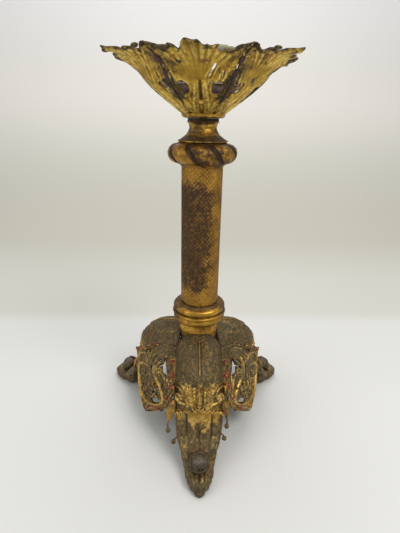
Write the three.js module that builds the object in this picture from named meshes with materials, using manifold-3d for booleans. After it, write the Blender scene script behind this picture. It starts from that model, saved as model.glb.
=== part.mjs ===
// A torchère candle stand: three arched legs and three pierced side panels carry a turned column, which ends in a
// crown of pierced leaves around a loose drip pan and a candle spike. An iron rod holds the column together.
// Millimetres, +Z up. The floor is z = 0 and the first leg points along -Y.
import * as THREE from "three";
import { mergeVertices } from "three/addons/utils/BufferGeometryUtils.js";
import Module from "manifold-3d";

const wasm = await Module();
wasm.setup();

// ---------------------------------------------------------------- driving dimensions
const CLEARANCE = 0.3; // gap between two faces that touch
const TURNED_SEGMENTS = 28; // facets round a large turned piece
const SMALL_SEGMENTS = 16; // facets round a small turned piece

// Legs. A station is a place along a leg's ridge, from the hub to the instep.
const LEG_COUNT = 3;
const LEG_WALL = 3; // thickness of the casting
const ROOF_HEIGHT = 145; // ridge height at the hub
const LEG_HALF_WIDTH = 33; // of the strap, from the hub to the knee
const LEG_ARCH = 26; // how far a strap's edges lie below its ridge on the roof
const ARCH_POWER = 2.4; // a strap is nearly flat along its ridge and falls away at its edges
const SHOULDER_RADIUS = 75;
const SHOULDER_DROP = 15; // below the ridge at the hub
const KNEE_RADIUS = 96;
const KNEE_DROP = 47;
const ANKLE_FROM_TOE = 52;
const ANKLE_HEIGHT = 45;
const ANKLE_HALF_WIDTH = 29.5;
const INSTEP_FROM_TOE = 38;
const INSTEP_HEIGHT = 31;
const INSTEP_HALF_WIDTH = 23;
const LOBE_COUNT = 9; // upright lobes cast across the knee
const LOBE_HEIGHT = 1.7;
const FLUTE_HEIGHT = 2.3; // of the three flutes below the knee
const FLUTE_GROOVE_RATIO = 0.5; // place of the grooves beside the middle flute, from 0 on the ridge to 1 on the edge

// Feet
const TOE_REACH = 160; // axis to the tip of a toe
const FOOT_LENGTH = 46;
const HEEL_HALF_WIDTH = 24;
const FOOT_HALF_WIDTH = 17.5; // under the ball
const FOOT_TAPER = 0.72; // width of the foot at the floor, as a part of its full width
const LIP_HALF_WIDTH = 13.5; // of the curled toe
const FOOT_HEIGHT = 17; // at the curled lip of the toe
const FOOT_BALL_RADIUS = 10.5;
const FOOT_BALL_FROM_TOE = 26; // to the ball's centre
const FOOT_BALL_HEIGHT = 28; // floor to the ball's centre

// Side panels: a shield between two legs, which rises from its low point to a shoulder under the roof
const PANEL_WALL = 2.6;
const PANEL_TOP_DROP = 27; // below the ridge of the legs at the hub
const PANEL_LOW_HEIGHT = 30;
const PANEL_DISTANCE = 88; // axis to the panel's low point
const PANEL_SHOULDER_DISTANCE = 70;
const PANEL_SHOULDER_LAP = 2.7; // width that the straps cut away beside the shoulder
const PANEL_CORNER_GAP = 1.6; // from a corner to the line of the strap
const PANEL_CORNER_DISTANCE = 72; // axis to the corner, along the panel's azimuth
const PANEL_CORNER_DROP = 50; // below the ridge of the legs at the hub
const BERRY_RADIUS = 2.8; // of the drops under a panel's lower edge
const FRAME_HALF_WIDTH = 38; // of the round frame cast on a panel
const FRAME_BAND_RADIUS = 2; // of its half-round band
const FRAME_MIDDLE_RATIO = 0.63; // place of its middle, from 0 at the panel's top to 1 at its low point
const FRAME_SPAN_RATIO = 0.18; // from its middle to its top or bottom

// Glass stones: one over the low point of each panel, and the others along both its borders
const STONE_RADIUS = 3.4;
const STONE_RISE = 2.6;
const STONE_FROM_EDGE = 5.8; // from the panel's edge to a stone's middle
const STONE_DOWN_RATIOS = [0.14, 0.27, 0.41, 0.58, 0.79]; // from 0 at the panel's top to 1 at its low point
const LOW_STONE_RATIO = 0.93;

// Hub and base ring
const HUB_RADIUS = 26.5;
const HUB_RISE = 15; // above the roof
const HUB_DEPTH = 18; // below the roof
const HUB_WEB = 6; // floor of the hub, which the rod pulls down on
const HUB_WALL = 4;
const HUB_SPIGOT_RADIUS = 15;
const HUB_SPIGOT_RISE = 5;
const RING_HEIGHT = 27;
const RING_RADIUS = 37.2;
const RING_WEB = 8;
const SHAFT_SOCKET_DEPTH = 11;

// Shaft
const SHAFT_RADIUS = 25.5;
const SHAFT_WALL = 1.6;
const SHAFT_SEEN_LENGTH = 184;

// Knop and neck
const KNOP_HEIGHT = 27.2;
const KNOP_RADIUS = 41;
const KNOP_SOCKET_DEPTH = 4;
const KNOP_WEB = 9;
const NECK_HEIGHT = 26.2;
const NECK_FOOT_RADIUS = 29.3;
const NECK_WAIST_RADIUS = 16.8;
const NECK_TOP_RADIUS = 21.8;

// Crown
const CUP_HEIGHT = 5;
const CUP_FLOOR = 2;
const CUP_LIP_RADIUS = 25.4;
const LEAF_COUNT = 6;
const LEAF_WALL = 1.6;
const LEAF_TAB_RADIUS = 9; // inner end of the tab that is clamped in the cup
const LEAF_TIP_RADIUS = 114;
const LEAF_RISE = 60; // from the cup's floor to the rim, where the tips curl over
const LEAF_PARTING = 0.3; // degrees left free on each side of a leaf
const LEAF_HOLE_RADIUS = 54; // axis to the middle of the two round gaps beside a leaf's stem
const LEAF_HOLE_ANGLE = 17.5; // degrees from the leaf's middle
const LEAF_HOLE_HALF_WIDTH = 6.6;
const LEAF_HOLE_HALF_LENGTH = 9;
const CROWN_TURN = -6; // degrees from the first leg to the first leaf
const CLAMP_RADIUS = 14;
const CLAMP_THICKNESS = 2.6;

// Rod, nut, washer, spike and drip pan
const ROD_RADIUS = 4;
const ROD_STICKOUT = 4; // of the rod below its nut
const ROD_THREAD_IN_SPIKE = 9;
const NUT_ACROSS_CORNERS = 15;
const NUT_HEIGHT = 6.5;
const WASHER_RADIUS = 11;
const WASHER_THICKNESS = 1.6;
const SPIKE_COLLAR_RADIUS = 10;
const SPIKE_COLLAR_HEIGHT = 15;
const SPIKE_NECK_RADIUS = 5;
const SPIKE_LENGTH = 38; // above the collar
const PAN_WALL = 1.4;
const PAN_FLOOR_RADIUS = 30;
const PAN_RIM_RADIUS = 38;
const PAN_DEPTH = 12;
const PAN_HOLE_GAP = 0.6; // round the spike's neck, so that the pan lifts off

// ---------------------------------------------------------------- levels and reaches
const HUB_BOTTOM = ROOF_HEIGHT - HUB_DEPTH;
const HUB_TOP = ROOF_HEIGHT + HUB_RISE;
const RING_BOTTOM = HUB_TOP + CLEARANCE;
const RING_TOP = RING_BOTTOM + RING_HEIGHT;
const SHAFT_BOTTOM = RING_TOP - SHAFT_SOCKET_DEPTH + CLEARANCE;
const KNOP_BOTTOM = RING_TOP + SHAFT_SEEN_LENGTH;
const SHAFT_TOP = KNOP_BOTTOM + KNOP_SOCKET_DEPTH - CLEARANCE;
const KNOP_TOP = KNOP_BOTTOM + KNOP_HEIGHT;
const NECK_BOTTOM = KNOP_TOP + CLEARANCE;
const NECK_TOP = NECK_BOTTOM + NECK_HEIGHT;
const CUP_BOTTOM = NECK_TOP + CLEARANCE;
const LEAF_SEAT = CUP_BOTTOM + CUP_FLOOR + CLEARANCE;
const CLAMP_BOTTOM = LEAF_SEAT + LEAF_WALL + CLEARANCE;
const CLAMP_TOP = CLAMP_BOTTOM + CLAMP_THICKNESS;
const SPIKE_BOTTOM = CLAMP_TOP + CLEARANCE;
const SPIKE_SHELF = SPIKE_BOTTOM + SPIKE_COLLAR_HEIGHT;
const PAN_BOTTOM = SPIKE_SHELF + CLEARANCE;
const WASHER_TOP = HUB_BOTTOM - CLEARANCE;
const NUT_TOP = WASHER_TOP - WASHER_THICKNESS - CLEARANCE;
const ROD_BOTTOM = NUT_TOP - NUT_HEIGHT - ROD_STICKOUT;
const ROD_TOP = SPIKE_BOTTOM + ROD_THREAD_IN_SPIKE;
const ROD_HOLE_RADIUS = ROD_RADIUS + CLEARANCE;
const SHOULDER_HEIGHT = ROOF_HEIGHT - SHOULDER_DROP;
const KNEE_HEIGHT = ROOF_HEIGHT - KNEE_DROP;
const PANEL_TOP_HEIGHT = ROOF_HEIGHT - PANEL_TOP_DROP;
const PANEL_CORNER_HEIGHT = ROOF_HEIGHT - PANEL_CORNER_DROP;
const PANEL_SHOULDER_HALF_WIDTH = strapLine(PANEL_SHOULDER_DISTANCE - 6) + PANEL_SHOULDER_LAP;
const PANEL_CORNER_HALF_WIDTH = strapLine(PANEL_CORNER_DISTANCE) - PANEL_CORNER_GAP;
const ANKLE_RADIUS = TOE_REACH - ANKLE_FROM_TOE;
const INSTEP_RADIUS = TOE_REACH - INSTEP_FROM_TOE;
const FOOT_BALL_REACH = TOE_REACH - FOOT_BALL_FROM_TOE;

// How far a strap's side lies from a panel's middle line, at a distance from the axis along the panel's azimuth.
function strapLine(distance) {
  const half = Math.PI / LEG_COUNT;
  return (distance * Math.sin(half) - LEG_HALF_WIDTH - CLEARANCE) / Math.cos(half);
}

// ---------------------------------------------------------------- geometry helpers
const radians = THREE.MathUtils.degToRad;

// A solid from a closed geometry, for cutting and joining.
function solidOf(geometry) {
  const bare = new THREE.BufferGeometry();
  bare.setAttribute("position", geometry.getAttribute("position"));
  if (geometry.index) bare.setIndex(geometry.index);
  const merged = mergeVertices(bare, 1e-3);
  return new wasm.Manifold(
    new wasm.Mesh({
      numProp: 3,
      vertProperties: merged.attributes.position.array,
      triVerts: new Uint32Array(merged.index.array),
    }),
  );
}

function geometryOf(solid) {
  const mesh = solid.getMesh();
  const geometry = new THREE.BufferGeometry();
  geometry.setAttribute("position", new THREE.BufferAttribute(mesh.vertProperties, 3));
  geometry.setIndex(new THREE.BufferAttribute(mesh.triVerts, 1));
  geometry.computeVertexNormals();
  return geometry;
}

// A turned solid about +Z. The profile is a list of [radius, height], up the outside and closed on itself or on the axis.
function turned(profile, segments = TURNED_SEGMENTS) {
  const points = profile.map(([radius, height]) => new THREE.Vector2(radius, height));
  return new THREE.LatheGeometry(points, segments).rotateX(Math.PI / 2);
}

// A turned solid with a bore of one radius from its bottom to its top.
function turnedWithBore(outside, boreRadius, segments = TURNED_SEGMENTS) {
  const bottom = outside[0][1];
  const top = outside[outside.length - 1][1];
  return turned([[boreRadius, bottom], ...outside, [boreRadius, top], [boreRadius, bottom]], segments);
}

// Points of an arc in a turned profile, from one angle to another, in degrees from the +radius direction.
function arc(centreRadius, centreHeight, arcRadius, from, to, steps) {
  return Array.from({ length: steps + 1 }, (_, i) => {
    const angle = radians(from + ((to - from) * i) / steps);
    return [centreRadius + arcRadius * Math.cos(angle), centreHeight + arcRadius * Math.sin(angle)];
  });
}

// A smooth curve through stations that each hold several values: at(0) is the first station and at(1) the last.
function through(stations) {
  const tracks = stations[0].map((_, column) => {
    const points = stations.map((row, i) => new THREE.Vector2(i, row[column]));
    return new THREE.SplineCurve(points);
  });
  return (t) => tracks.map((track) => track.getPoint(t).y);
}

// A curved plate: surface(u, v) gives its outer face for u from -1 to 1 and v from 0 to 1, and the wall goes inwards.
function curvedPlate(surface, across, along, wall) {
  const step = 1e-3;
  const outer = [];
  const inner = [];
  for (let j = 0; j <= along; j++) {
    for (let i = 0; i <= across; i++) {
      const u = -1 + (2 * i) / across;
      const v = j / along;
      const point = surface(u, v);
      const alongU = surface(Math.min(u + step, 1), v).sub(surface(Math.max(u - step, -1), v));
      const alongV = surface(u, Math.min(v + step, 1)).sub(surface(u, Math.max(v - step, 0)));
      const outward = alongV.cross(alongU).normalize();
      outer.push(point);
      inner.push(point.clone().addScaledVector(outward, -wall));
    }
  }
  const row = across + 1;
  const backward = outer.length; // index of the first inner point
  const faces = [];
  const quad = (a, b, c, d) => faces.push(a, c, b, a, d, c);
  for (let j = 0; j < along; j++) {
    for (let i = 0; i < across; i++) {
      const a = j * row + i;
      quad(a, a + 1, a + 1 + row, a + row);
      quad(backward + a, backward + a + row, backward + a + row + 1, backward + a + 1);
    }
  }
  for (let i = 0; i < across; i++) {
    const last = along * row + i;
    quad(i + 1, i, backward + i, backward + i + 1);
    quad(last, last + 1, backward + last + 1, backward + last);
  }
  for (let j = 0; j < along; j++) {
    const left = j * row;
    const right = left + across;
    quad(left, left + row, backward + left + row, backward + left);
    quad(right + row, right, backward + right, backward + right + row);
  }
  const geometry = new THREE.BufferGeometry().setFromPoints([...outer, ...inner]);
  geometry.setIndex(faces);
  return geometry;
}

// A solid through a list of rings, each with as many points, all going the same way round.
function loft(rings) {
  const count = rings[0].length;
  const faces = [];
  for (let j = 0; j < rings.length - 1; j++) {
    for (let i = 0; i < count; i++) {
      const a = j * count + i;
      const b = j * count + ((i + 1) % count);
      faces.push(a, b, b + count, a, b + count, a + count);
    }
  }
  const last = (rings.length - 1) * count;
  for (let i = 1; i < count - 1; i++) {
    faces.push(0, i + 1, i);
    faces.push(last, last + i, last + i + 1);
  }
  const geometry = new THREE.BufferGeometry().setFromPoints(rings.flat());
  geometry.setIndex(faces);
  return geometry;
}

// A closed bar through rings that come back to the first one.
function closedLoft(rings) {
  const count = rings[0].length;
  const faces = [];
  for (let j = 0; j < rings.length; j++) {
    for (let i = 0; i < count; i++) {
      const a = j * count + i;
      const b = j * count + ((i + 1) % count);
      const c = ((j + 1) % rings.length) * count + ((i + 1) % count);
      const d = ((j + 1) % rings.length) * count + i;
      faces.push(a, b, c, a, c, d);
    }
  }
  const geometry = new THREE.BufferGeometry().setFromPoints(rings.flat());
  geometry.setIndex(faces);
  return geometry;
}

// ---------------------------------------------------------------- materials
const finish = (color, roughness, metalness) => new THREE.MeshStandardMaterial({ color, roughness, metalness });
const GILT = () => finish(0x8f6f22, 0.42, 0.9);
const PATINA = () => finish(0x4f4226, 0.6, 0.75);
const BROWN_BRASS = () => finish(0x5f4517, 0.5, 0.8);
const IRON = () => finish(0x3a3430, 0.7, 0.8);
const TIN = () => finish(0x8d8078, 0.5, 0.7);
const RED_GLASS = () => finish(0x8c1420, 0.12, 0);

// The stand's axis lies behind the middle of its outline, because one leg points forward and none points back.
const stand = new THREE.Group();
stand.position.y = (TOE_REACH - LEAF_TIP_RADIUS) / 2;

function add(name, geometry, material, parent = stand) {
  const mesh = new THREE.Mesh(geometry, material);
  mesh.name = name;
  parent.add(mesh);
  return mesh;
}

// A group whose -Y axis points away from the stand's axis at an azimuth, in degrees from the first leg.
function turnedGroup(azimuth) {
  const group = new THREE.Group();
  group.rotation.z = radians(azimuth);
  stand.add(group);
  return group;
}

// ---------------------------------------------------------------- legs
// Ridge radius, ridge height, half width, and the fall of the edges below the ridge.
const legStation = through([
  [HUB_RADIUS - 6, ROOF_HEIGHT + 1, LEG_HALF_WIDTH, LEG_ARCH],
  [(HUB_RADIUS + SHOULDER_RADIUS) / 2, ROOF_HEIGHT - 5, LEG_HALF_WIDTH, LEG_ARCH],
  [SHOULDER_RADIUS, SHOULDER_HEIGHT, LEG_HALF_WIDTH, LEG_ARCH],
  [KNEE_RADIUS - 6, (KNEE_HEIGHT + SHOULDER_HEIGHT) / 2 + 2, LEG_HALF_WIDTH, LEG_ARCH - 2],
  [KNEE_RADIUS, KNEE_HEIGHT, LEG_HALF_WIDTH, LEG_ARCH - 6],
  [KNEE_RADIUS + 2, (KNEE_HEIGHT + ANKLE_HEIGHT) / 2, LEG_HALF_WIDTH - 0.5, LEG_ARCH / 2],
  [ANKLE_RADIUS, ANKLE_HEIGHT, ANKLE_HALF_WIDTH, LEG_ARCH / 3],
  [INSTEP_RADIUS, INSTEP_HEIGHT, INSTEP_HALF_WIDTH, LEG_ARCH / 6],
]);

// Height of the relief cast on a strap: lobes from the shoulder to the knee's foot, and flutes from there to the instep.
function legRelief(u, v) {
  const across = Math.abs(u);
  const within = (low, high) => Math.max(0, Math.sin((Math.PI * (v - low)) / (high - low)));
  const lobes = v > 0.44 && v < 0.7 ? Math.cos((Math.PI * LOBE_COUNT * across) / 2) ** 2 * within(0.44, 0.7) : 0;
  const middle = Math.sqrt(Math.max(0, 1 - (across / FLUTE_GROOVE_RATIO) ** 2));
  const fromSideFlute = (2 * across - 1 - FLUTE_GROOVE_RATIO) / (1 - FLUTE_GROOVE_RATIO);
  const side = Math.sqrt(Math.max(0, 1 - fromSideFlute ** 2));
  const flutes = Math.max(middle, side) * Math.min(1, Math.max(0, (v - 0.7) / 0.06));
  return Math.max(LOBE_HEIGHT * Math.sqrt(lobes), FLUTE_HEIGHT * flutes) * Math.min(1, (1 - across) * 12);
}

// A strap's outer face, in a frame whose -Y points out along the leg.
function legSurface(u, v) {
  const step = 1e-3;
  const [radius, height, halfWidth, fall] = legStation(v);
  const [beforeRadius, beforeHeight] = legStation(Math.max(v - step, 0));
  const [afterRadius, afterHeight] = legStation(Math.min(v + step, 1));
  const along = new THREE.Vector2(afterRadius - beforeRadius, afterHeight - beforeHeight).normalize();
  const sink = fall * Math.abs(u) ** ARCH_POWER - legRelief(u, v);
  return new THREE.Vector3(u * halfWidth, -(radius + along.y * sink), height - along.x * sink);
}

// Distance from the toe's tip, half width, top and underside of the foot.
const footStations = [
  [FOOT_LENGTH + 4, HEEL_HALF_WIDTH, ANKLE_HEIGHT - 2.4, 14],
  [FOOT_LENGTH - 4, HEEL_HALF_WIDTH - 1, INSTEP_HEIGHT + 4, 0],
  [FOOT_LENGTH - 14, (HEEL_HALF_WIDTH + FOOT_HALF_WIDTH) / 2, FOOT_HEIGHT + 4, 0],
  [FOOT_LENGTH - 26, FOOT_HALF_WIDTH, FOOT_HEIGHT - 2, 0],
  [FOOT_LENGTH / 5, LIP_HALF_WIDTH, FOOT_HEIGHT, 0],
  [FOOT_LENGTH / 12, LIP_HALF_WIDTH * 0.65, FOOT_HEIGHT - 1, 0],
  [0, LIP_HALF_WIDTH / 4, FOOT_HEIGHT / 2, 1.5],
];

function footSolid() {
  const rings = footStations.map(([fromTip, halfWidth, top, bottom]) => {
    const y = -(TOE_REACH - fromTip);
    const chamfer = Math.min(5, halfWidth / 2, (top - bottom) / 3);
    return [
      new THREE.Vector3(-halfWidth * FOOT_TAPER, y, bottom),
      new THREE.Vector3(halfWidth * FOOT_TAPER, y, bottom),
      new THREE.Vector3(halfWidth, y, top - chamfer),
      new THREE.Vector3(halfWidth - chamfer, y, top),
      new THREE.Vector3(-halfWidth + chamfer, y, top),
      new THREE.Vector3(-halfWidth, y, top - chamfer),
    ];
  });
  return solidOf(loft(rings));
}

function ballAt(radius) {
  const ball = new THREE.SphereGeometry(radius, 12, 8);
  ball.rotateX(Math.PI / 2);
  ball.translate(0, -FOOT_BALL_REACH, FOOT_BALL_HEIGHT);
  return ball;
}

// The space that belongs to one leg: a wedge between the middle lines of its two panels.
function legWedge() {
  const reach = 3 * TOE_REACH;
  const half = Math.PI / LEG_COUNT;
  const apex = CLEARANCE / 2 / Math.sin(half);
  const wedge = new THREE.Shape();
  wedge.moveTo(0, -apex);
  wedge.lineTo(-reach * Math.sin(half), -apex - reach * Math.cos(half));
  wedge.lineTo(reach * Math.sin(half), -apex - reach * Math.cos(half));
  wedge.closePath();
  const prism = new THREE.ExtrudeGeometry(wedge, { depth: 3 * ROOF_HEIGHT, bevelEnabled: false });
  return solidOf(prism.translate(0, 0, -ROOF_HEIGHT));
}

function legGeometry() {
  const hubBore = turned([
    [0, 0],
    [HUB_RADIUS + CLEARANCE, 0],
    [HUB_RADIUS + CLEARANCE, 2 * ROOF_HEIGHT],
    [0, 2 * ROOF_HEIGHT],
  ]);
  const strap = solidOf(curvedPlate(legSurface, 2 * LOBE_COUNT, 24, LEG_WALL));
  const cast = strap.add(footSolid()).intersect(legWedge());
  return geometryOf(cast.subtract(solidOf(hubBore)).subtract(solidOf(ballAt(FOOT_BALL_RADIUS + CLEARANCE))));
}

const LEG_NAMES = ["front", "rear_right", "rear_left"];
const leg = legGeometry();
for (let i = 0; i < LEG_COUNT; i++) {
  const group = turnedGroup((i * 360) / LEG_COUNT);
  add("leg_" + LEG_NAMES[i], leg, PATINA(), group);
  add("foot_ball_" + LEG_NAMES[i], ballAt(FOOT_BALL_RADIUS), IRON(), group);
}

// ---------------------------------------------------------------- side panels
// Where the middle of a panel meets the two straps beside it.
const VALLEY_DISTANCE = (LEG_HALF_WIDTH + CLEARANCE) / Math.sin(Math.PI / LEG_COUNT);

// A height on a panel, from 0 at its low point to 1 at its corners.
function panelHeight(part) {
  return PANEL_LOW_HEIGHT + (PANEL_CORNER_HEIGHT - PANEL_LOW_HEIGHT) * part;
}

// Middle line: distance from the axis and height. Edge: half width, distance and height.
const panelStation = through([
  [VALLEY_DISTANCE + 1, PANEL_TOP_HEIGHT, 1.2, VALLEY_DISTANCE + 1, PANEL_TOP_HEIGHT],
  [
    PANEL_SHOULDER_DISTANCE * 0.815,
    PANEL_TOP_HEIGHT - 1,
    strapLine(PANEL_SHOULDER_DISTANCE * 0.793) + PANEL_SHOULDER_LAP / 2,
    PANEL_SHOULDER_DISTANCE * 0.793,
    PANEL_TOP_HEIGHT - 5,
  ],
  [
    PANEL_SHOULDER_DISTANCE,
    PANEL_TOP_HEIGHT - 6,
    PANEL_SHOULDER_HALF_WIDTH,
    PANEL_SHOULDER_DISTANCE - 6,
    PANEL_CORNER_HEIGHT + 8,
  ],
  [
    PANEL_CORNER_DISTANCE + 4,
    PANEL_CORNER_HEIGHT + 3,
    PANEL_CORNER_HALF_WIDTH,
    PANEL_CORNER_DISTANCE,
    PANEL_CORNER_HEIGHT,
  ],
  [PANEL_DISTANCE - 7, panelHeight(0.77), PANEL_CORNER_HALF_WIDTH * 0.894, PANEL_DISTANCE - 13, panelHeight(0.77)],
  [PANEL_DISTANCE - 2.5, panelHeight(0.49), PANEL_CORNER_HALF_WIDTH * 0.77, PANEL_DISTANCE - 10.5, panelHeight(0.52)],
  [PANEL_DISTANCE, panelHeight(0.2), PANEL_CORNER_HALF_WIDTH * 0.478, PANEL_DISTANCE - 3.5, panelHeight(0.26)],
  [PANEL_DISTANCE, PANEL_LOW_HEIGHT, 5, PANEL_DISTANCE, PANEL_LOW_HEIGHT + 0.5],
]);

// A panel's outer face, in a frame whose -Y points out through its middle.
function panelSurface(u, v) {
  const [distance, height, halfWidth, edgeDistance, edgeHeight] = panelStation(v);
  const blend = u * u;
  const y = distance + (edgeDistance - distance) * blend;
  return new THREE.Vector3(u * halfWidth, -y, height + (edgeHeight - height) * blend);
}

// A cutter: an outline in the plane across a direction, pushed along it. The outline's x is the panel's x.
function cutter(outline, place, tilt) {
  const shape = new THREE.Shape(outline);
  const depth = 12 * PANEL_WALL;
  const prism = new THREE.ExtrudeGeometry(shape, { depth, bevelEnabled: false, curveSegments: 6 });
  prism.translate(0, 0, -depth / 2).rotateX(Math.PI / 2 - tilt).translate(place.x, place.y, place.z);
  return solidOf(prism);
}

function oval(halfWidth, halfHeight, points = 8) {
  return Array.from({ length: points }, (_, i) => {
    const angle = (2 * Math.PI * i) / points;
    return new THREE.Vector2(halfWidth * Math.cos(angle), halfHeight * Math.sin(angle));
  });
}

// The piercings: place across and along the panel, outline, and the tilt of the cut above level.
const GAP_OUTLINE = [new THREE.Vector2(-9, 7), new THREE.Vector2(-3, -7), new THREE.Vector2(9, -5)];
const WINDOW_OUTLINE = [
  new THREE.Vector2(-7, -4),
  new THREE.Vector2(1, -3.5),
  new THREE.Vector2(7, 1),
  new THREE.Vector2(4, 4),
  new THREE.Vector2(-6, 2.5),
];
const mirrored = (outline) => outline.map((point) => new THREE.Vector2(-point.x, point.y)).reverse();
const panelPiercings = [
  { u: 0, v: 0.43, outline: oval(4, 3, 6), tilt: radians(25) },
  { u: 0.36, v: 0.585, outline: oval(5.5, 7), tilt: radians(12) },
  { u: -0.36, v: 0.585, outline: oval(5.5, 7), tilt: radians(12) },
  { u: 0.62, v: 0.72, outline: WINDOW_OUTLINE, tilt: 0 },
  { u: -0.62, v: 0.72, outline: mirrored(WINDOW_OUTLINE), tilt: 0 },
  { u: 0, v: 0.75, outline: oval(5, 7), tilt: 0 },
  { u: 0.48, v: 0.28, outline: GAP_OUTLINE, tilt: radians(65) },
  { u: -0.48, v: 0.28, outline: mirrored(GAP_OUTLINE), tilt: radians(65) },
];

// The berries that hang from the lower edge: place across and along the panel.
const BERRY_PLACES = [[0, 1], [1, 0.79], [-1, 0.79]];

// The round frame that stands proud of a panel: a band with four sides along an oval.
function frameBand() {
  const steps = 28;
  const rings = Array.from({ length: steps }, (_, i) => {
    const angle = (2 * Math.PI * i) / steps;
    const place = (scale) => {
      const v = FRAME_MIDDLE_RATIO + FRAME_SPAN_RATIO * scale * Math.sin(angle);
      const u = (FRAME_HALF_WIDTH * scale * Math.cos(angle)) / panelStation(v)[2];
      return [u, v];
    };
    const scaleStep = FRAME_BAND_RADIUS / FRAME_HALF_WIDTH;
    const [inside, middle, outside] = [1 - scaleStep, 1, 1 + scaleStep].map((scale) => place(scale));
    return [
      liftedFrom(inside, -PANEL_WALL / 2),
      liftedFrom(outside, -PANEL_WALL / 2),
      liftedFrom(outside, FRAME_BAND_RADIUS / 3),
      liftedFrom(middle, FRAME_BAND_RADIUS),
      liftedFrom(inside, FRAME_BAND_RADIUS / 3),
    ];
  });
  return solidOf(closedLoft(rings));
}

// The slab that a strap fills, seen from a panel, on one side of it.
function strapSlab(side) {
  const length = 3 * TOE_REACH;
  const width = 2 * (LEG_HALF_WIDTH + CLEARANCE);
  const slab = new THREE.BoxGeometry(width, length, 3 * ROOF_HEIGHT);
  slab.translate(0, -length / 2, 0).rotateZ((side * Math.PI) / LEG_COUNT);
  return solidOf(slab);
}

function panelGeometry() {
  let panel = solidOf(curvedPlate(panelSurface, 8, 12, PANEL_WALL));
  panel = panel.subtract(strapSlab(1)).subtract(strapSlab(-1));
  for (const { u, v, outline, tilt } of panelPiercings) {
    panel = panel.subtract(cutter(outline, panelSurface(u, v), tilt));
  }
  panel = panel.add(frameBand());
  for (const [u, v] of BERRY_PLACES) {
    const place = panelSurface(u, v);
    const berry = new THREE.SphereGeometry(BERRY_RADIUS, 8, 6).rotateX(Math.PI / 2);
    berry.translate(place.x, place.y + 0.6 * PANEL_WALL, place.z - 0.6 * BERRY_RADIUS);
    panel = panel.add(solidOf(berry));
  }
  return geometryOf(panel);
}

function stoneGeometry() {
  const dome = [0, 45].map((degrees) => {
    const angle = radians(degrees);
    return [STONE_RADIUS * Math.cos(angle), STONE_RISE * Math.sin(angle)];
  });
  return turned([[0, 0], ...dome, [0, STONE_RISE]], 8);
}

// The direction square to a panel's outer face.
function panelOutward(u, v) {
  const step = 1e-3;
  const alongU = panelSurface(u + step, v).sub(panelSurface(u - step, v));
  const alongV = panelSurface(u, v + step).sub(panelSurface(u, v - step));
  return alongV.cross(alongU).normalize();
}

function liftedFrom([u, v], lift) {
  return panelSurface(u, v).addScaledVector(panelOutward(u, v), lift);
}

// Sets a piece on a panel's face, its +Z along the outward direction.
function placeOnPanel(mesh, u, v) {
  const outward = panelOutward(u, v);
  mesh.quaternion.setFromUnitVectors(new THREE.Vector3(0, 0, 1), outward);
  mesh.position.copy(panelSurface(u, v)).addScaledVector(outward, CLEARANCE);
}

// The place of a border stone across the panel, from 0 on its middle line to 1 on its edge.
function borderPlace(v) {
  const halfWidth = panelStation(v)[2];
  return (halfWidth - STONE_FROM_EDGE) / halfWidth;
}

const PANEL_NAMES = ["front_right", "rear", "front_left"];
const panel = panelGeometry();
const stone = stoneGeometry();
for (let i = 0; i < LEG_COUNT; i++) {
  const group = turnedGroup(((i + 0.5) * 360) / LEG_COUNT);
  add("side_panel_" + PANEL_NAMES[i], panel, PATINA(), group);
  const addStone = (label, u, v) => {
    placeOnPanel(add("stone_" + PANEL_NAMES[i] + "_" + label, stone, RED_GLASS(), group), u, v);
  };
  addStone("low", 0, LOW_STONE_RATIO);
  for (const [side, sideName] of [[-1, "a"], [1, "b"]]) {
    STONE_DOWN_RATIOS.forEach((ratio, k) => addStone(sideName + (k + 1), side * borderPlace(ratio), ratio));
  }
}

// ---------------------------------------------------------------- column
function hubGeometry() {
  const inner = HUB_RADIUS - HUB_WALL;
  const cavityTop = HUB_TOP - HUB_WALL;
  return turned([
    [ROD_HOLE_RADIUS, HUB_BOTTOM],
    [HUB_RADIUS, HUB_BOTTOM],
    [HUB_RADIUS, HUB_TOP],
    [HUB_SPIGOT_RADIUS, HUB_TOP],
    [HUB_SPIGOT_RADIUS, HUB_TOP + HUB_SPIGOT_RISE],
    [HUB_SPIGOT_RADIUS - HUB_WALL, HUB_TOP + HUB_SPIGOT_RISE],
    [HUB_SPIGOT_RADIUS - HUB_WALL, cavityTop],
    [inner, cavityTop],
    [inner, HUB_BOTTOM + HUB_WEB],
    [ROD_HOLE_RADIUS, HUB_BOTTOM + HUB_WEB],
    [ROD_HOLE_RADIUS, HUB_BOTTOM],
  ]);
}
add("base_hub", hubGeometry(), GILT());

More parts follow.
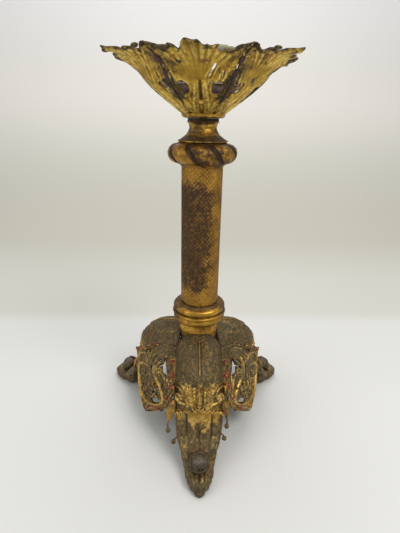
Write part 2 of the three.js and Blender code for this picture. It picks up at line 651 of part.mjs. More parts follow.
// Two rolls and a fillet under a small lip, with a socket for the shaft and a bore for the hub's spigot.
function ringGeometry() {
  const socketRadius = SHAFT_RADIUS + CLEARANCE;
  const boreRadius = HUB_SPIGOT_RADIUS + CLEARANCE;
  const shelf = RING_BOTTOM + RING_WEB;
  const rollRadius = RING_HEIGHT * 0.17;
  return turned([
    [boreRadius, RING_BOTTOM],
    [RING_RADIUS - 4.2, RING_BOTTOM],
    [RING_RADIUS - 3.6, RING_BOTTOM + RING_HEIGHT * 0.07],
    [RING_RADIUS - 1.2, RING_BOTTOM + RING_HEIGHT * 0.15],
    [RING_RADIUS - 0.8, RING_BOTTOM + RING_HEIGHT * 0.33],
    [RING_RADIUS, RING_BOTTOM + RING_HEIGHT * 0.39],
    [RING_RADIUS, RING_BOTTOM + RING_HEIGHT * 0.5],
    [RING_RADIUS - 1.7, RING_BOTTOM + RING_HEIGHT * 0.56],
    ...arc(RING_RADIUS - 1.2 - rollRadius, RING_BOTTOM + RING_HEIGHT * 0.72, rollRadius, -30, 90, 4),
    [socketRadius + 1.6, RING_TOP],
    [socketRadius, RING_TOP],
    [socketRadius, RING_TOP - SHAFT_SOCKET_DEPTH],
    [boreRadius + 4, RING_TOP - SHAFT_SOCKET_DEPTH],
    [boreRadius + 4, shelf],
    [boreRadius, shelf],
    [boreRadius, RING_BOTTOM],
  ]);
}
add("base_ring", ringGeometry(), GILT());

const shaftWall = [[SHAFT_RADIUS, SHAFT_BOTTOM], [SHAFT_RADIUS, SHAFT_TOP]];
add("shaft_tube", turnedWithBore(shaftWall, SHAFT_RADIUS - SHAFT_WALL), BROWN_BRASS());

// A flattened roll with a socket for the shaft below and a flat seat for the neck above.
function knopGeometry() {
  const socketRadius = SHAFT_RADIUS + CLEARANCE;
  const rollHeight = KNOP_HEIGHT * 0.42;
  const rollMiddle = KNOP_BOTTOM + KNOP_HEIGHT * 0.53;
  const rollReach = KNOP_RADIUS - socketRadius - 3;
  const roll = Array.from({ length: 7 }, (_, i) => {
    const angle = radians(-78 + 26 * i);
    return [socketRadius + 3 + rollReach * Math.cos(angle), rollMiddle + rollHeight * Math.sin(angle)];
  });
  const webBottom = KNOP_BOTTOM + KNOP_SOCKET_DEPTH;
  return turned([
    [socketRadius, KNOP_BOTTOM],
    [socketRadius + 1, KNOP_BOTTOM],
    ...roll,
    [NECK_FOOT_RADIUS, KNOP_TOP],
    [ROD_HOLE_RADIUS, KNOP_TOP],
    [ROD_HOLE_RADIUS, KNOP_TOP - KNOP_WEB],
    [SHAFT_RADIUS - SHAFT_WALL - 3, KNOP_TOP - KNOP_WEB],
    [SHAFT_RADIUS - SHAFT_WALL - 3, webBottom],
    [socketRadius, webBottom],
    [socketRadius, KNOP_BOTTOM],
  ]);
}
add("knop", knopGeometry(), BROWN_BRASS());

function neckGeometry() {
  const outside = through([
    [NECK_FOOT_RADIUS, NECK_BOTTOM],
    [NECK_FOOT_RADIUS - 0.6, NECK_BOTTOM + 1.8],
    [NECK_WAIST_RADIUS + 3.8, NECK_BOTTOM + NECK_HEIGHT * 0.3],
    [NECK_WAIST_RADIUS, NECK_BOTTOM + NECK_HEIGHT * 0.62],
    [NECK_WAIST_RADIUS + 1.6, NECK_BOTTOM + NECK_HEIGHT * 0.84],
    [NECK_TOP_RADIUS, NECK_TOP],
  ]);
  const profile = Array.from({ length: 9 }, (_, i) => outside(i / 8));
  return turnedWithBore(profile, ROD_HOLE_RADIUS);
}
add("neck", neckGeometry(), GILT());

// ---------------------------------------------------------------- crown
function cupGeometry() {
  const lip = CUP_BOTTOM + CUP_HEIGHT;
  return turned([
    [ROD_HOLE_RADIUS, CUP_BOTTOM],
    [NECK_TOP_RADIUS, CUP_BOTTOM],
    [NECK_TOP_RADIUS + 1.5, CUP_BOTTOM + 1.2],
    [CUP_LIP_RADIUS, lip - 1],
    [CUP_LIP_RADIUS, lip],
    [CUP_LIP_RADIUS - 1.4, lip],
    [NECK_TOP_RADIUS - 1.2, CUP_BOTTOM + CUP_FLOOR],
    [ROD_HOLE_RADIUS, CUP_BOTTOM + CUP_FLOOR],
    [ROD_HOLE_RADIUS, CUP_BOTTOM],
  ]);
}
add("leaf_cup", cupGeometry(), GILT());

// A leaf's under face from its tab to its tip: radius and height above the seat in the cup.
const leafProfile = through([
  [LEAF_TAB_RADIUS, 0],
  [NECK_TOP_RADIUS - 4, 0],
  [CUP_LIP_RADIUS - 1.4, CUP_HEIGHT - CUP_FLOOR + 0.6],
  [LEAF_TIP_RADIUS * 0.36, LEAF_RISE * 0.267],
  [LEAF_TIP_RADIUS * 0.53, LEAF_RISE * 0.517],
  [LEAF_TIP_RADIUS * 0.66, LEAF_RISE * 0.775],
  [LEAF_TIP_RADIUS * 0.78, LEAF_RISE * 0.94],
  [LEAF_TIP_RADIUS * 0.886, LEAF_RISE],
  [LEAF_TIP_RADIUS, LEAF_RISE - 1.6],
]);

// How far along its profile a leaf reaches, across its width: a middle tip, two side lobes, and notches between.
const leafReach = through([[1], [0.84], [0.9], [0.78], [0.8]]);

// A leaf's upper face: u goes across the leaf and v from its tab to its tip, in a frame whose -Y points outwards.
function leafSurface(u, v) {
  const reach = leafReach(Math.abs(u))[0];
  const [radius, rise] = leafProfile(v * reach);
  const azimuth = u * radians(180 / LEAF_COUNT - LEAF_PARTING);
  const point = new THREE.Vector3(radius * Math.sin(azimuth), -radius * Math.cos(azimuth), LEAF_SEAT + rise);
  return point.add(leafUpward(v * reach, azimuth).multiplyScalar(LEAF_WALL));
}

// The direction square to the leaf's profile, on its upper side.
function leafUpward(t, azimuth) {
  const [r0, z0] = leafProfile(Math.max(t - 1e-3, 0));
  const [r1, z1] = leafProfile(Math.min(t + 1e-3, 1));
  const along = new THREE.Vector2(r1 - r0, z1 - z0).normalize();
  return new THREE.Vector3(-along.y * Math.sin(azimuth), along.y * Math.cos(azimuth), along.x);
}

// The two round gaps beside the stem, cut square to the leaf.
function leafHole(side) {
  const azimuth = radians(side * LEAF_HOLE_ANGLE);
  const depth = 12 * LEAF_WALL;
  const outline = new THREE.Shape(oval(LEAF_HOLE_HALF_WIDTH, LEAF_HOLE_HALF_LENGTH));
  const prism = new THREE.ExtrudeGeometry(outline, { depth, bevelEnabled: false });
  prism.translate(0, 0, -depth / 2).rotateX(radians(-50));
  prism.translate(0, -LEAF_HOLE_RADIUS, LEAF_SEAT + LEAF_RISE * 0.433).rotateZ(azimuth);
  return solidOf(prism);
}

const leaf = geometryOf(
  solidOf(curvedPlate(leafSurface, 8, 8, LEAF_WALL)).subtract(leafHole(1)).subtract(leafHole(-1)),
);
for (let i = 0; i < LEAF_COUNT; i++) {
  add("crown_leaf_" + (i + 1), leaf, GILT(), turnedGroup(CROWN_TURN + (i * 360) / LEAF_COUNT));
}

const clampEdge = [[CLAMP_RADIUS, CLAMP_BOTTOM], [CLAMP_RADIUS, CLAMP_TOP]];
add("leaf_clamp_disc", turnedWithBore(clampEdge, ROD_HOLE_RADIUS), BROWN_BRASS());

// ---------------------------------------------------------------- rod, nut, washer, spike and drip pan
const rod = new THREE.CylinderGeometry(ROD_RADIUS, ROD_RADIUS, ROD_TOP - ROD_BOTTOM, SMALL_SEGMENTS);
rod.rotateX(Math.PI / 2).translate(0, 0, (ROD_TOP + ROD_BOTTOM) / 2);
add("tie_rod", rod, IRON());

const washerEdge = [[WASHER_RADIUS, WASHER_TOP - WASHER_THICKNESS], [WASHER_RADIUS, WASHER_TOP]];
add("rod_washer", turnedWithBore(washerEdge, ROD_HOLE_RADIUS, 24), IRON());

const nutEdge = [[NUT_ACROSS_CORNERS / 2, NUT_TOP - NUT_HEIGHT], [NUT_ACROSS_CORNERS / 2, NUT_TOP]];
const nutBlank = solidOf(turned([[0, NUT_TOP - NUT_HEIGHT], ...nutEdge, [0, NUT_TOP]], 6));
const nutBore = solidOf(turned([
  [0, NUT_TOP - 2 * NUT_HEIGHT],
  [ROD_HOLE_RADIUS, NUT_TOP - 2 * NUT_HEIGHT],
  [ROD_HOLE_RADIUS, NUT_TOP + NUT_HEIGHT],
  [0, NUT_TOP + NUT_HEIGHT],
], SMALL_SEGMENTS));
add("rod_nut", geometryOf(nutBlank.subtract(nutBore)), IRON());

// A collar that the drip pan rests on, a neck that centres the pan, and a cone that the candle is pushed on.
function spikeGeometry() {
  const socketTop = ROD_TOP + CLEARANCE;
  return turned([
    [0, socketTop],
    [ROD_HOLE_RADIUS, socketTop],
    [ROD_HOLE_RADIUS, SPIKE_BOTTOM],
    [SPIKE_COLLAR_RADIUS, SPIKE_BOTTOM],
    [SPIKE_COLLAR_RADIUS, SPIKE_SHELF],
    [SPIKE_NECK_RADIUS, SPIKE_SHELF],
    [SPIKE_NECK_RADIUS, PAN_BOTTOM + PAN_WALL + 1],
    [SPIKE_NECK_RADIUS * 0.55, SPIKE_SHELF + SPIKE_LENGTH * 0.6],
    [0, SPIKE_SHELF + SPIKE_LENGTH],
  ], SMALL_SEGMENTS);
}
add("candle_spike", spikeGeometry(), IRON());

function panGeometry() {
  const hole = SPIKE_NECK_RADIUS + PAN_HOLE_GAP;
  const floorTop = PAN_BOTTOM + PAN_WALL;
  const rimTop = PAN_BOTTOM + PAN_DEPTH;
  return turned([
    [hole, PAN_BOTTOM],
    [PAN_FLOOR_RADIUS, PAN_BOTTOM],
    [PAN_FLOOR_RADIUS + 4, PAN_BOTTOM + 2],
    [PAN_RIM_RADIUS - 1.2, rimTop - PAN_WALL],
    [PAN_RIM_RADIUS, rimTop],
    [PAN_RIM_RADIUS - PAN_WALL, rimTop],
    [PAN_RIM_RADIUS - 1.2 - PAN_WALL, rimTop - PAN_WALL],
    [PAN_FLOOR_RADIUS + 3, PAN_BOTTOM + 2 + PAN_WALL],
    [PAN_FLOOR_RADIUS, floorTop],
    [hole, floorTop],
    [hole, PAN_BOTTOM],
  ]);
}
add("drip_pan", panGeometry(), TIN());

const part = new THREE.Group();
part.add(stand);
export default part;
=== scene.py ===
"""The looks of the candle stand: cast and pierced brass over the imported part, a plain pale sweep, soft light.

Pieces are built in millimetres in a local frame whose -Y points away from the stand's axis, turned to their
azimuth about that axis, and then put in the part's frame in metres.
"""

import math

import bpy
import numpy as np
from mathutils import Matrix, Vector


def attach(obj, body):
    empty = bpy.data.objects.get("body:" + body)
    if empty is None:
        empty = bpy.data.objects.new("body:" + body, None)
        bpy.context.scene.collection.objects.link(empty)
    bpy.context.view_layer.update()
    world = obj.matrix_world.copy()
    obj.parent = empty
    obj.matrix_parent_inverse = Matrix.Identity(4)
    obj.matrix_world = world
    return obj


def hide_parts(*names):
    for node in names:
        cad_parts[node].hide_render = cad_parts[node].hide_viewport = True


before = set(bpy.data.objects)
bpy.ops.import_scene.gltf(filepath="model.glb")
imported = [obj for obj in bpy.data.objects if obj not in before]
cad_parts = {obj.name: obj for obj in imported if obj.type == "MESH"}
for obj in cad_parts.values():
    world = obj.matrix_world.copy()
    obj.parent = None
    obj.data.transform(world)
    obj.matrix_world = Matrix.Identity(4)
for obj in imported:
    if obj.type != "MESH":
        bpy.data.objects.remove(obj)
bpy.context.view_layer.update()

AXIS_Y = 23.0  # the column's axis in the part's frame, mm
LEG_NAMES = ["front", "rear_right", "rear_left"]
PANEL_NAMES = ["front_right", "rear", "front_left"]


# ---------------------------------------------------------------- curves and patterns
def through(rows):
    """A smooth curve through rows of values: 0 gives the first row and 1 the last."""
    rows = np.array(rows, float)
    last = len(rows) - 1

    def at(t):
        t = np.clip(np.asarray(t, float), 0, 1) * last
        i = np.minimum(t.astype(int), last - 1)
        w = (t - i)[..., None]
        p0, p1 = rows[np.maximum(i - 1, 0)], rows[i]
        p2, p3 = rows[i + 1], rows[np.minimum(i + 2, last)]
        v0, v1 = (p2 - p0) / 2, (p3 - p1) / 2
        return (2 * p1 - 2 * p2 + v0 + v1) * w**3 + (-3 * p1 + 3 * p2 - 2 * v0 - v1) * w**2 + v0 * w + p1

    return at


def smooth(low, high, x):
    t = np.clip((x - low) / (high - low), 0, 1)
    return t * t * (3 - 2 * t)


def window(x, a, b, c, d):
    """0 before a, 1 from b to c and 0 again after d."""
    return smooth(a, b, x) * smooth(d, c, x)


def dome(x):
    """A round hump, 1 at 0 and 0 from 1 on."""
    return np.sqrt(np.clip(1 - x**2, 0, 1))


def bell(x):
    return np.exp(-(x**2))


def circle(count):
    return np.linspace(0, 2 * math.pi, count, endpoint=False)


def unit(v):
    return v / np.linalg.norm(v, axis=-1, keepdims=True)


def bend(points, count=12):
    """A smooth line through a few points."""
    return through(points)(np.linspace(0, 1, count))


def run(points):
    """Length along a line of points, from its start to each of them."""
    return np.r_[0, np.cumsum(np.linalg.norm(np.diff(points, axis=0), axis=1))]


def spiral(cx, cy, radius, turns, start, hand=1, count=20, inner=0.2):
    s = np.linspace(0, 1, count)
    a = math.radians(start) + hand * 2 * math.pi * turns * s
    r = radius * (1 - (1 - inner) * s)
    return np.c_[cx + r * np.cos(a), cy + r * np.sin(a)]


def line_distance(P, Q, points):
    """Distance from each (P, Q) to a line of points, and how far along the line the nearest place is, 0 to 1."""
    points = np.asarray(points, float)
    best = np.full(P.shape, 1e9)
    along = np.zeros(P.shape)
    n = len(points) - 1
    for k in range(n):
        a, d = points[k], points[k + 1] - points[k]
        t = np.clip(((P - a[0]) * d[0] + (Q - a[1]) * d[1]) / max(d @ d, 1e-9), 0, 1)
        e = np.hypot(P - a[0] - t * d[0], Q - a[1] - t * d[1])
        near = e < best
        best = np.where(near, e, best)
        along = np.where(near, (k + t) / n, along)
    return best, along


def ridges(P, Q, strokes):
    """Height of rounded ridges. Each stroke is a line, its half width, its height and how much it narrows."""
    H = np.zeros(P.shape)
    for line, width, height, taper in strokes:
        line = np.asarray(line, float)
        lo, hi = line.min(0) - width, line.max(0) + width
        box = (P > lo[0]) & (P < hi[0]) & (Q > lo[1]) & (Q < hi[1])
        if not box.any():
            continue
        d, s = line_distance(P[box], Q[box], line)
        w = width * (1 - taper * s)
        h = height * (1 - 0.5 * taper * s) * dome(d / w)
        H[box] = np.maximum(H[box], h)
    return H


def spray(points, length, width, height, step, lean=50, sides=(-1, 1), grow=0.0):
    """A stem with leaflets along it that lean towards its end."""
    stem = bend(points, 24)
    total = run(stem)
    strokes = [(stem, width * 0.9, height, 0.3)]
    for d in np.arange(step * 0.6, total[-1] - 0.2, step):
        here, ahead = (np.array([np.interp(x, total, axis) for axis in stem.T]) for x in (d, d + 0.8))
        along = (ahead - here) / max(np.linalg.norm(ahead - here), 1e-6)
        reach = length * (1 + grow * (d / total[-1] - 0.5))
        for side in sides:
            c, s = math.cos(math.radians(lean) * side), math.sin(math.radians(lean) * side)
            out = np.array([along[0] * c - along[1] * s, along[0] * s + along[1] * c])
            leaflet = [here, here + 0.55 * reach * out, here + reach * (0.85 * out + 0.25 * along)]
            strokes.append((leaflet, width, height * 0.9, 0.45))
    return strokes


def oval(P, Q, cx, cy, rx, ry, tilt=0.0):
    """Rough distance outside an oval, negative within it."""
    a = math.radians(tilt)
    x = (P - cx) * math.cos(a) + (Q - cy) * math.sin(a)
    y = -(P - cx) * math.sin(a) + (Q - cy) * math.cos(a)
    return (np.hypot(x / rx, y / ry) - 1) * min(rx, ry)


def slot(P, Q, a, b, width, taper=0.0):
    d, s = line_distance(P, Q, [a, b])
    return d - width * (1 - taper * s)


def arc_table(surface):
    """Length along the middle line of a surface, as a function of v."""
    v = np.linspace(0, 1, 1501)
    length = run(surface(np.zeros_like(v), v))
    return lambda x: np.interp(x, v, length)


def v_at(length, q, count=600):
    """The v at a length q along a surface's middle line."""
    v = np.linspace(0, 1, count)
    return float(np.interp(q, length(v), v))


# ---------------------------------------------------------------- solids
def outward(surface, U, V):
    """The direction off a surface."""
    step = 1e-3
    du = surface(np.minimum(U + step, 1), V) - surface(np.maximum(U - step, -1), V)
    dv = surface(U, np.minimum(V + step, 1)) - surface(U, np.maximum(V - step, 0))
    n = np.cross(dv, du)
    return n / np.maximum(np.linalg.norm(n, axis=-1, keepdims=True), 1e-12)


def largest_patch(keep):
    """The cells joined to the middle of the largest run of kept cells."""
    row = int(keep.sum(1).argmax())
    columns = np.flatnonzero(keep[row])
    seed = np.zeros_like(keep)
    seed[row, columns[len(columns) // 2]] = True
    while True:
        p = np.pad(seed, 1)
        grown = keep & (seed | p[:-2, 1:-1] | p[2:, 1:-1] | p[1:-1, :-2] | p[1:-1, 2:])
        if (grown == seed).all():
            return seed
        seed = grown


RIM_WALL, RIM_RELIEF = 0.32, 0.6  # a plate's edge is thinner and its relief lower
UNDER_RELIEF = 0.6


def shell(surface, wall, cells, inside, relief, gold, back, full=2.2, inner=0.6, flip=False):
    """A cast plate over u from -1 to 1 and v from 0 to 1. inside(U, V) is positive where metal is, relief(U, V)
    is its height and gold(U, V) how much gilding is left. The wall goes against the outward direction. back is the
    share of relief that shows behind, full the height that counts as fully proud in the looks, inner the share of
    gilding that the hidden side keeps, and flip is for a surface whose outward direction points inwards."""
    nu, nv = cells
    U, V = np.meshgrid(np.linspace(-1, 1, nu + 1), np.linspace(0, 1, nv + 1))
    M = inside(U, V)
    keep = largest_patch((M[:-1, :-1] + M[1:, :-1] + M[:-1, 1:] + M[1:, 1:]) > 0)
    around = np.zeros((nv + 1, nu + 1), int)
    for dj in (0, 1):
        for di in (0, 1):
            around[dj : nv + dj, di : nu + di] += keep
    used = around > 0
    rim = used & (around < 4)
    # the rim's points move onto the outline, by its slope over a small share of a cell
    nudge = 0.05
    hu, hv = nudge * 2 / nu, nudge / nv
    u, v = U[rim], V[rim]
    for _ in range(2):
        m = inside(u, v)
        gu = (inside(u + hu, v) - m) / nudge
        gv = (inside(u, v + hv) - m) / nudge
        g2 = np.maximum(gu * gu + gv * gv, 1e-6)
        u = np.clip(u - np.clip(m * gu / g2, -0.5, 0.5) * 2 / nu, -1, 1)
        v = np.clip(v - np.clip(m * gv / g2, -0.5, 0.5) / nv, 0, 1)
    U[rim], V[rim] = u, v
    P, N = surface(U, V), outward(surface, U, V) * (-1 if flip else 1)
    H = relief(U, V)
    half = np.where(rim, RIM_WALL, 0.5) * wall
    proud = np.where(rim, RIM_RELIEF, 1.0) * H
    middle = P - N * (wall / 2)
    top = middle + N * (half + proud)[..., None]
    under = middle - N * (half - back * proud)[..., None]
    count = int(used.sum())
    index = np.full(used.shape, -1)
    index[used] = np.arange(count)
    corners = [index[:-1, :-1], index[:-1, 1:], index[1:, 1:], index[1:, :-1]]
    a, b, c, d = (corner[keep] for corner in corners)
    faces = [np.c_[a, b, c, d], np.c_[a, d, c, b] + count]
    padded = np.pad(keep, 1)
    beyond = (padded[:-2, 1:-1], padded[1:-1, 2:], padded[2:, 1:-1], padded[1:-1, :-2])
    for k, neighbour in enumerate(beyond):
        edge = keep & ~neighbour
        p, q = corners[k][edge], corners[(k + 1) % 4][edge]
        faces.append(np.c_[q, p, p + count, q + count])
    values = np.clip(np.concatenate([H[used], H[used] * UNDER_RELIEF]) / full, 0, 1)
    points, gilt = np.concatenate([top[used], under[used]]), gold(U, V)[used]
    return solid(points, np.concatenate(faces), values, np.concatenate([gilt, gilt * inner]))


def solid(points, faces, relief, gold):
    """Points, faces turned outwards, and how proud and how gilded each point is."""
    a, b, c, d = (points[faces[:, k]] for k in range(4))
    volume = (np.cross(b - a, c - a) * a).sum() + (np.cross(c - a, d - a) * a).sum()
    return points, faces[:, ::-1] if volume < 0 else faces, relief, gold


def rings_solid(rings, relief, gold, closed=False):
    """A solid through rings of as many points each. Its ends are closed with fans, unless it closes on itself."""
    rings = np.asarray(rings, float)
    count, around = rings.shape[:2]
    relief, gold = (np.array(np.broadcast_to(x, (count, around)), float).ravel() for x in (relief, gold))
    i = np.arange(around)
    faces = []
    for j in range(count if closed else count - 1):
        a, b = j * around, ((j + 1) % count) * around
        faces.append(np.c_[a + i, a + (i + 1) % around, b + (i + 1) % around, b + i])
    points = rings.reshape(-1, 3)
    if not closed:
        for k in (0, count - 1):
            centre, base = np.full(around, len(points)), k * around
            points = np.vstack([points, rings[k].mean(0)])
            fan = np.c_[base + (i + 1) % around, base + i, centre, centre]
            faces.append(fan[:, [1, 0, 2, 3]] if k else fan)
            relief, gold = np.append(relief, 0.5), np.append(gold, gold[base])
    return solid(points, np.concatenate(faces), relief, gold)


def hoops(centres, side, up, across, over):
    """Rings of points about centres: across along the direction side and over along the direction up."""
    return centres[:, None] + across[..., None] * side[..., None, :] + over[..., None] * up[..., None, :]


def turned(profile, segments=96, relief=None, gold=None, tone=None):
    """A solid turned about the axis from a closed profile of radius, height and how much relief it takes.
    tone(A, Z) takes the place of its relief's height in the looks. A is in degrees, with 0 to the front."""
    profile = np.array([list(p) + [0] * (3 - len(p)) for p in profile], float)
    R, A = np.meshgrid(profile[:, 0], circle(segments), indexing="ij")
    Z, T = (np.repeat(profile[:, k][:, None], segments, 1) for k in (1, 2))
    degrees = np.degrees(A)
    H = relief(degrees, Z) * T if relief else np.zeros(R.shape)
    R = np.maximum(R + H, 0)
    value = tone(degrees, Z) if tone else np.where(T > 0, H / max(float(H.max()), 1e-6), 0.6)
    rings = np.stack([R * np.sin(A), -R * np.cos(A), Z], -1)
    return rings_solid(rings, value, gold(degrees, Z) if gold else 1.0, closed=True)


def blob(centre, radii, axes=None, segments=16, gold=1.0, relief=0.6, power=1.0):
    """A rounded lump with its own three half lengths and directions."""
    t = np.linspace(0, math.pi, segments // 2 + 1)[1:-1]
    T, A = np.meshgrid(t, circle(segments), indexing="ij")
    p = np.stack([np.sin(T) * np.cos(A), np.sin(T) * np.sin(A), np.cos(T)], -1)
    p = np.sign(p) * np.abs(p) ** power * np.array(radii)
    if axes is not None:
        p = p @ np.asarray(axes, float)
    return rings_solid(p + np.asarray(centre, float), relief, gold)


def tube(points, radius, sides=10, taper=0.0, gold=1.0, relief=0.7):
    """A round bar along a line, narrowing to its end."""
    points = np.asarray(points, float)
    along = unit(np.gradient(points, axis=0))
    side = unit(np.cross(along, [0.31, 0.22, 0.92]))
    a = circle(sides)
    r = radius * (1 - taper * np.linspace(0, 1, len(points)))[:, None]
    return rings_solid(hoops(points, side, np.cross(side, along), r * np.cos(a), r * np.sin(a)), relief, gold)


SHARP_EDGE = math.radians(50)


def emit(name, parts, material, azimuth=0.0, replaces=(), body="stand"):
    """One piece of the object from solids in a local frame at an azimuth."""
    parts = parts if isinstance(parts, list) else [parts]
    offsets = np.cumsum([0] + [len(part[0]) for part in parts])
    points, relief, gold = (np.concatenate([part[k] for part in parts]) for k in (0, 2, 3))
    faces = np.concatenate([part[1] + offset for part, offset in zip(parts, offsets)])
    a = math.radians(azimuth)
    c, s = math.cos(a), math.sin(a)
    x, y, z = points.T
    xyz = np.c_[x * c - y * s, x * s + y * c + AXIS_Y, z] * 0.001
    mesh = bpy.data.meshes.new(name)
    lists = [tuple(dict.fromkeys(f)) for f in faces.tolist()]
    mesh.from_pydata(xyz.tolist(), [], [f for f in lists if len(f) > 2])
    for label, values in (("relief", relief), ("gold", gold)):
        attribute = mesh.attributes.new(label, "FLOAT", "POINT")
        attribute.data.foreach_set("value", np.asarray(values, np.float32))
    mesh.polygons.foreach_set("use_smooth", np.ones(len(mesh.polygons), bool))
    mesh.set_sharp_from_angle(angle=SHARP_EDGE)
    mesh.materials.append(material)
    piece = bpy.data.objects.new(name, mesh)
    bpy.context.scene.collection.objects.link(piece)
    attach(piece, body)
    if replaces:
        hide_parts(*replaces)
    return piece


# ---------------------------------------------------------------- materials
def srgb(r, g, b):
    def linear(c):
        c /= 255
        return c / 12.92 if c <= 0.04045 else ((c + 0.055) / 1.055) ** 2.4

    return (linear(r), linear(g), linear(b), 1.0)


class Nodes:
    """Short calls for building a node tree."""

    def __init__(self, name):
        self.material = bpy.data.materials.new(name)
        self.material.use_nodes = True
        self.tree = self.material.node_tree
        self.shader = self.tree.nodes["Principled BSDF"]
        self.place = self.add("ShaderNodeTexCoord").outputs["Object"]

    def add(self, kind):
        return self.tree.nodes.new(kind)

    def join(self, source, target):
        self.tree.links.new(source, target)

    def value(self, socket, given):
        """A number, a colour as red, green and blue from 0 to 255, or another node's output."""
        if isinstance(given, tuple):
            socket.default_value = srgb(*given)
        elif isinstance(given, (int, float)):
            socket.default_value = given
        else:
            self.join(given, socket)

    def noise(self, scale, detail=3.0, roughness=0.55, stretch=None, distortion=0.0):
        node = self.add("ShaderNodeTexNoise")
        numbers = {"Scale": scale, "Detail": detail, "Roughness": roughness, "Distortion": distortion}
        for label, number in numbers.items():
            node.inputs[label].default_value = number
        source = self.place
        if stretch:
            mapping = self.add("ShaderNodeMapping")
            mapping.inputs["Scale"].default_value = stretch
            self.join(source, mapping.inputs["Vector"])
            source = mapping.outputs["Vector"]
        self.join(source, node.inputs["Vector"])
        return node.outputs["Fac"]

    def attribute(self, name):
        node = self.add("ShaderNodeAttribute")
        node.attribute_name = name
        return node.outputs["Fac"]

    def math(self, operation, a, b=0.0, clamp=False):
        node = self.add("ShaderNodeMath")
        node.operation = operation
        node.use_clamp = clamp
        self.value(node.inputs[0], a)
        self.value(node.inputs[1], b)
        return node.outputs[0]

    def vary(self, source, pattern, amount, clamp=False):
        """source, moved up and down by a pattern about 0.5."""
        return self.math("ADD", source, self.math("MULTIPLY", self.math("SUBTRACT", pattern, 0.5), amount), clamp)

    def span(self, source, low, high, to_low=0.0, to_high=1.0):
        node = self.add("ShaderNodeMapRange")
        node.interpolation_type = "SMOOTHSTEP"
        self.join(source, node.inputs["Value"])
        for label, number in (("From Min", low), ("From Max", high), ("To Min", to_low), ("To Max", to_high)):
            node.inputs[label].default_value = number
        return node.outputs["Result"]

    def mix(self, factor, a, b):
        node = self.add("ShaderNodeMix")
        node.data_type = "RGBA"
        for label, given in (("Factor", factor), ("A", a), ("B", b)):
            self.value(node.inputs[label], given)
        return node.outputs["Result"]

    def bump(self, height, distance, strength=1.0):
        node = self.add("ShaderNodeBump")
        node.inputs["Strength"].default_value = strength
        node.inputs["Distance"].default_value = distance
        self.join(height, node.inputs["Height"])
        self.join(node.outputs["Normal"], self.shader.inputs["Normal"])


def brass(
    name, gilt, gilt_dark, painted_highlight, patina, patina_dark, painted_hollow_shade, spots, rough=(0.36, 0.55), metal=(0.85, 0.55)
):
    """Worn gilding over darkened brass. The gold attribute says where it is left, and relief what is proud. Proud
    relief is painted lighter as a painted highlight, and low relief is painted darker as painted shade in the
    hollows.
    """
    n = Nodes(name)
    cloud = n.noise(48, 5, 0.62)
    grain = n.noise(230, 5, 0.7)
    fine = n.noise(900, 2, 0.5)
    gold, relief = n.attribute("gold"), n.attribute("relief")
    bright = n.mix(n.span(cloud, 0.40, 0.60), gilt_dark, gilt)
    bright = n.mix(n.span(grain, 0.56, 0.44, 0.0, 0.55), bright, gilt_dark)
    # painted highlight: proud relief turns towards the light gilt
    bright = n.mix(n.math("MULTIPLY", n.span(relief, 0.55, 1.0), n.span(grain, 0.40, 0.58)), bright, painted_highlight)
    dull = n.mix(n.span(grain, 0.40, 0.60), patina_dark, patina)
    worn = n.vary(n.vary(n.vary(gold, cloud, 1.3), grain, 1.3), relief, 0.35)
    left = n.span(worn, 0.22, 0.74)
    colour = n.mix(left, dull, bright)
    for k, (spot, scale, low, high) in enumerate(spots):
        patch = n.noise(scale, 5, 0.65, stretch=(1, 1.0 + 0.1 * k, 0.9), distortion=0.4)
        colour = n.mix(n.span(patch, low, high), colour, spot)
    # painted shade: low relief is darkened towards a dark brown where shade falls in the hollows
    hollow_shade_share = n.span(relief, 0.0, 0.34, 0.78, 0.0)
    hollow_shade_share = n.math("MULTIPLY", hollow_shade_share, n.span(grain, 0.3, 0.6, 0.6, 1.0))
    colour = n.mix(hollow_shade_share, colour, painted_hollow_shade)
    n.join(colour, n.shader.inputs["Base Color"])
    n.join(n.span(left, 0, 1, metal[1], metal[0]), n.shader.inputs["Metallic"])
    shine = n.span(left, 0, 1, rough[1], rough[0])
    n.join(n.vary(shine, grain, 0.35, clamp=True), n.shader.inputs["Roughness"])
    n.bump(n.math("ADD", grain, n.math("MULTIPLY", fine, 0.5)), 0.0005, 0.6)
    return n.material


def plain_metal(name, base, dark, light, spots, rough, metallic):
    n = Nodes(name)
    cloud, grain = n.noise(120, 5, 0.6), n.noise(720, 3, 0.6)
    colour = n.mix(n.span(cloud, 0.35, 0.65), dark, base)
    colour = n.mix(n.span(grain, 0.55, 0.75), colour, light)
    for spot, size, low, high in spots:
        colour = n.mix(n.span(n.noise(size, 4, 0.6), low, high), colour, spot)
    n.join(colour, n.shader.inputs["Base Color"])
    n.shader.inputs["Metallic"].default_value = metallic
    n.join(n.span(cloud, 0.3, 0.7, rough - 0.1, rough + 0.12), n.shader.inputs["Roughness"])
    n.bump(grain, 0.0004, 0.7)
    return n.material


